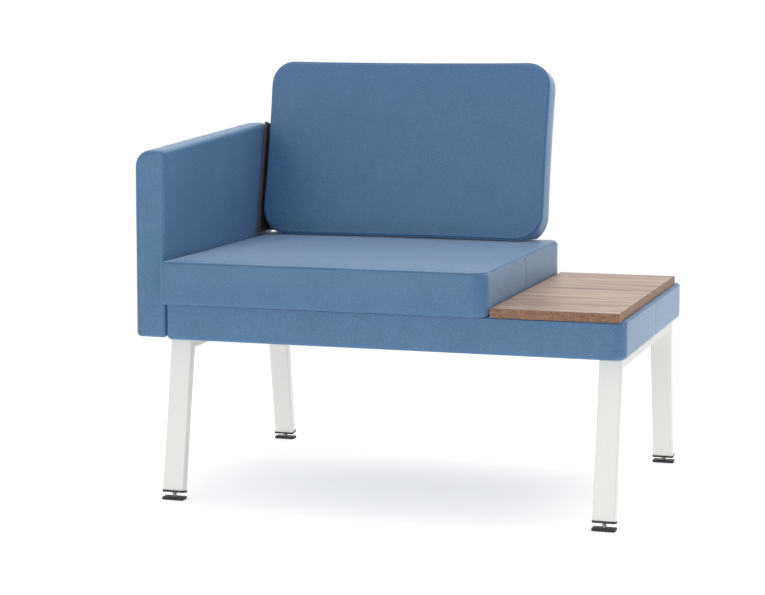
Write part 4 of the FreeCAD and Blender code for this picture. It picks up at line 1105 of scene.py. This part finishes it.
# %% Neck and half ball
neck_size = node(stem_tree, "ShaderNodeSeparateXYZ", {0: given["Neck"]}).outputs
neck = node(stem_tree, "GeometryNodeMeshCylinder", {"Vertices": 18, "Radius": neck_size["X"],
                                                    "Depth": neck_size["Z"]})
ball = node(stem_tree, "GeometryNodeMeshUVSphere", {"Segments": 20, "Rings": 12, "Radius": given["Ball"]})
where = node(stem_tree, "GeometryNodeInputPosition").outputs["Position"]
spot = node(stem_tree, "ShaderNodeSeparateXYZ", {0: where}).outputs
above = node(stem_tree, "ShaderNodeMath", {0: spot["Z"], 1: 0.0}, operation="MAXIMUM").outputs["Value"]
flat_below = node(stem_tree, "ShaderNodeCombineXYZ", {"X": spot["X"], "Y": spot["Y"], "Z": above})
half_ball = node(stem_tree, "GeometryNodeSetPosition", {"Geometry": ball.outputs["Mesh"],
                                                        "Position": flat_below.outputs[0]})
print("the half ball is", 2 * BALL_RADIUS, "mm wide")

# %% The whole stem
stem_join = node(stem_tree, "GeometryNodeJoinGeometry")
half_length = node(stem_tree, "ShaderNodeMath", {0: given["Length"], 1: 2.0}, operation="DIVIDE")
half_neck = node(stem_tree, "ShaderNodeMath", {0: neck_size["Z"], 1: 2.0}, operation="DIVIDE")
core_middle = node(stem_tree, "ShaderNodeMath", {0: neck_size["Z"], 1: half_length.outputs["Value"]},
                   operation="ADD")
for shape, rise in ((ridge, neck_size["Z"]), (core, core_middle.outputs["Value"]),
                    (neck, half_neck.outputs["Value"]), (half_ball, None)):
    lifted = node(stem_tree, "GeometryNodeTransform", {"Geometry": shape.outputs[0]})
    if rise is not None:
        lift_by = node(stem_tree, "ShaderNodeCombineXYZ", {"Z": rise})
        stem_tree.links.new(lift_by.outputs[0], lifted.inputs["Translation"])
    stem_tree.links.new(lifted.outputs[0], stem_join.inputs[0])
set_down = node(stem_tree, "GeometryNodeTransform", {"Geometry": stem_join.outputs[0],
                                                     "Translation": given["Place"],
                                                     "Rotation": given["Turn"]})
close_growth(stem_tree, set_down.outputs[0], given["Finish"])
print("the stem's tree has", len(stem_tree.nodes), "nodes")

# %% [markdown]
# ## Four stems from their joints
# Place and direction come from the joint about which each stem turns, and the pitch from the coupling
# between that turn and the foot's travel. So the thread that is seen is the thread that moves the foot.

# %% Stems
behaviour = frame["record"]["behaviour"]
joints = {joint["name"]: joint for joint in behaviour["joints"]}
for coupling in behaviour["couplings"]:
    joint = joints[coupling["joint"]]
    foot = joint["name"].removesuffix("_foot_turn")
    up_the_leg = -Vector(joint["axis"])
    stem = grow(f"{foot}_threaded_stem", line_object(f"{foot}_line", []), stem_tree,
                Pitch=2 * math.pi / coupling["ratio"], Length=STEM_LENGTH * MM, Core=STEM_CORE * MM,
                Crest=STEM_CREST * MM, Ridge=RIDGE_RADIUS * MM,
                Neck=(NECK_RADIUS * MM, 0.0, NECK_LENGTH * MM), Ball=BALL_RADIUS * MM,
                Place=joint["pos_m"], Turn=up_the_leg.to_track_quat("Z", "Y").to_euler(),
                Finish=finishes["zinc_steel"])
    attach(stem, joint["child"])
    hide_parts(f"{foot}_foot_stem")

# %% [markdown]
# ## Staples
# The dust cover is shot to the frame with wire staples, about 40 mm apart and never quite straight. Only
# the crowns show, so each staple is a flat bar.

# %% Staples
STAPLE_EVERY, STAPLE_INSET = 38, 7
STAPLE_SEED, STAPLE_WOBBLE = 3, 4
STAPLE_SIZE = (1.2 * MM, 0.6 * MM, 10 * MM)
staple_tree, given = new_growth("staples", Spacing="Float", Size="Vector", Wobble="Float", Seed="Int",
                                Finish="Material")
crown = node(staple_tree, "GeometryNodeMeshCube", {"Size": given["Size"]})
close_growth(staple_tree, row_along_lines(staple_tree, given, crown.outputs["Mesh"]), given["Finish"])
inset = Vector((STAPLE_INSET, STAPLE_INSET, 0)) * MM
staple_low, staple_high = dust_low + inset, dust_high - inset
staple_line = [(x, y, dust_low.z) for x, y in ((staple_low.x, staple_low.y), (staple_high.x, staple_low.y),
                                               (staple_high.x, staple_high.y), (staple_low.x, staple_high.y))]
staples = grow("dust_cover_staples", line_object("staple_line", [staple_line]), staple_tree,
               Spacing=STAPLE_EVERY * MM, Size=STAPLE_SIZE, Wobble=math.radians(STAPLE_WOBBLE),
               Seed=STAPLE_SEED, Finish=finishes["zinc_steel"])
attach(staples, "bench")

# %% [markdown]
# ## A white surround
# The photograph has a plain white background. A backdrop would need light of its own, so the world is
# used: it is white where the camera, a gloss or glass looks at it, and a weaker dome where it lights the
# bench. That way the background stays white at a level of light at which a colour renders about as it is
# written.

# %% Surround
scene = bpy.context.scene
scene.view_settings.view_transform = "Standard"
DOME = 0.5


def seen_directly(tree):
    """1 for rays from the camera and for gloss and glass, 0 for the light that falls on the object."""
    path = node(tree, "ShaderNodeLightPath").outputs
    either = node(tree, "ShaderNodeMath", {0: path["Is Camera Ray"], 1: path["Is Glossy Ray"]},
                  operation="MAXIMUM")
    return node(tree, "ShaderNodeMath", {0: either.outputs["Value"], 1: path["Is Transmission Ray"]},
                operation="MAXIMUM").outputs["Value"]


world = bpy.data.worlds.new("white_surround")
scene.world = world
world.use_nodes = True
sky = world.node_tree
sky.nodes.clear()
dome = node(sky, "ShaderNodeBackground", {"Color": srgb("#FFFFFF"), "Strength": DOME})
white = node(sky, "ShaderNodeBackground", {"Color": srgb("#FFFFFF"), "Strength": 1.0})
seen = node(sky, "ShaderNodeMixShader", {0: seen_directly(sky), 1: dome.outputs["Background"],
                                         2: white.outputs["Background"]})
node(sky, "ShaderNodeOutputWorld", {"Surface": seen.outputs["Shader"]})
print("the surround is 1 where it is seen and", DOME, "as light")

# %% [markdown]
# ## The floor
# The floor is white paper that keeps the bench's shadow. It glows and takes only part of its brightness
# from the lamps, so the shadow stays pale and bluish. In the open it is overexposed, so only the middle
# of the shadow shows, and further out it fades to the white of the surround.

# %% Floor paper
# Shadows show near the bench, and the floor fades to plain white between these distances, in metres
FLOOR_NEAR, FLOOR_FAR = 0.7, 1.9
# In the open a matt white floor is about twice as bright as FLOOR_LIGHT. SHADOW_DEPTH is what total darkness
# would take from red, green and blue
FLOOR_LIGHT = 0.5
SHADOW_DEPTH = (0.46, 0.43, 0.35)
paper = bpy.data.materials.new("white_floor")
paper.use_nodes = True
paper_tree = paper.node_tree
paper_tree.nodes.clear()
lit_colour = [part / FLOOR_LIGHT for part in SHADOW_DEPTH] + [1]
shaded = node(paper_tree, "ShaderNodeBsdfDiffuse", {"Color": lit_colour})
glow = node(paper_tree, "ShaderNodeEmission", {"Color": [1 - part for part in SHADOW_DEPTH] + [1]})
near_floor = node(paper_tree, "ShaderNodeAddShader", {0: shaded.outputs["BSDF"], 1: glow.outputs["Emission"]})
far_floor = node(paper_tree, "ShaderNodeEmission", {"Color": srgb("#FFFFFF"), "Strength": 1.0})
floor_spot = node(paper_tree, "ShaderNodeTexCoord").outputs["Object"]
from_middle = node(paper_tree, "ShaderNodeVectorMath", {0: floor_spot}, operation="LENGTH")
far = node(paper_tree, "ShaderNodeMapRange", {"Value": from_middle.outputs["Value"], "From Min": FLOOR_NEAR,
                                              "From Max": FLOOR_FAR})
white_floor = node(paper_tree, "ShaderNodeMixShader", {0: far.outputs["Result"],
                                                       1: near_floor.outputs["Shader"],
                                                       2: far_floor.outputs["Emission"]})
node(paper_tree, "ShaderNodeOutputMaterial", {"Surface": white_floor.outputs["Shader"]})
print("the floor fades to white from", FLOOR_NEAR, "to", FLOOR_FAR, "m")

# %% Floor
FLOOR_HALF = 12.0
floor_corners = [(-FLOOR_HALF, -FLOOR_HALF, 0), (FLOOR_HALF, -FLOOR_HALF, 0), (FLOOR_HALF, FLOOR_HALF, 0),
                 (-FLOOR_HALF, FLOOR_HALF, 0)]
floor = mesh_object("floor", floor_corners, [(0, 1, 2, 3)], paper)
floor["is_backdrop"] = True
print("floor", 2 * FLOOR_HALF, "m wide")

# %% [markdown]
# ## Lamps
# One large softbox hangs above and a little behind the bench. It makes the soft shadow between the feet
# and the pale gloss on the seat and the table. Two weaker ones stand low at the front and at the right,
# so that the upright faces aren't left to the dome alone. The front one would cast a second shadow behind
# the bench, so light linking keeps it off the floor.

# %% Softboxes


def softbox(name, spot, aim, size, watts):
    lamp = bpy.data.lights.new(name, "AREA")
    lamp.size = size
    lamp.energy = watts
    item = add_object(name, lamp)
    item.location = spot
    item.rotation_euler = (Vector(aim) - Vector(spot)).to_track_quat("-Z", "Y").to_euler()
    print(name, watts, "W")
    return item


softbox("overhead", (0.3, 1.0, 3.4), (0, 0, 0.4), 4.2, 92)
fill = softbox("low_fill", (-1.3, -5.0, 0.9), (0, 0, 0.3), 1.7, 42)
unlit = bpy.data.collections.new("not_lit_by_front_fill")
unlit.objects.link(floor)
unlit.collection_objects[0].light_linking.link_state = "EXCLUDE"
fill.light_linking.receiver_collection = unlit
softbox("right_fill", (5.0, 0.4, 0.9), (0, 0, 0.3), 1.7, 10)

# %% [markdown]
# ## Camera
# The place, angle and focal length were solved from the straight edges in the photograph. The photograph
# keeps its upright lines parallel, so the camera looks only slightly down and its frame is shifted a
# little.

# %% Camera
SENSOR = 36.0
FOCAL = 98.5
CAMERA_AT = place(1513.1, -3497.0, 872.7)
CAMERA_DOWN, CAMERA_YAW = 5.433, 17.447
CAMERA_SHIFT = -0.10
lens = bpy.data.cameras.new("view")
lens.sensor_width = SENSOR
lens.lens = FOCAL
lens.shift_y = CAMERA_SHIFT
camera = add_object("view", lens)
camera.location = CAMERA_AT
camera.rotation_euler = (math.radians(90 - CAMERA_DOWN), 0, math.radians(CAMERA_YAW))
scene.camera = camera
print("camera", round(camera.location.length, 2), "m from the middle of the floor")

# %% The CAD model's box and the dressed scene's box
visual_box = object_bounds()
boxes = {"cad": [list(corner) for corner in cad_box], "visual": [list(corner) for corner in visual_box]}
for k, axis in enumerate("xyz"):
    print(axis, [round(1000 * corner[k], 1) for corner in (*cad_box, *visual_box)])
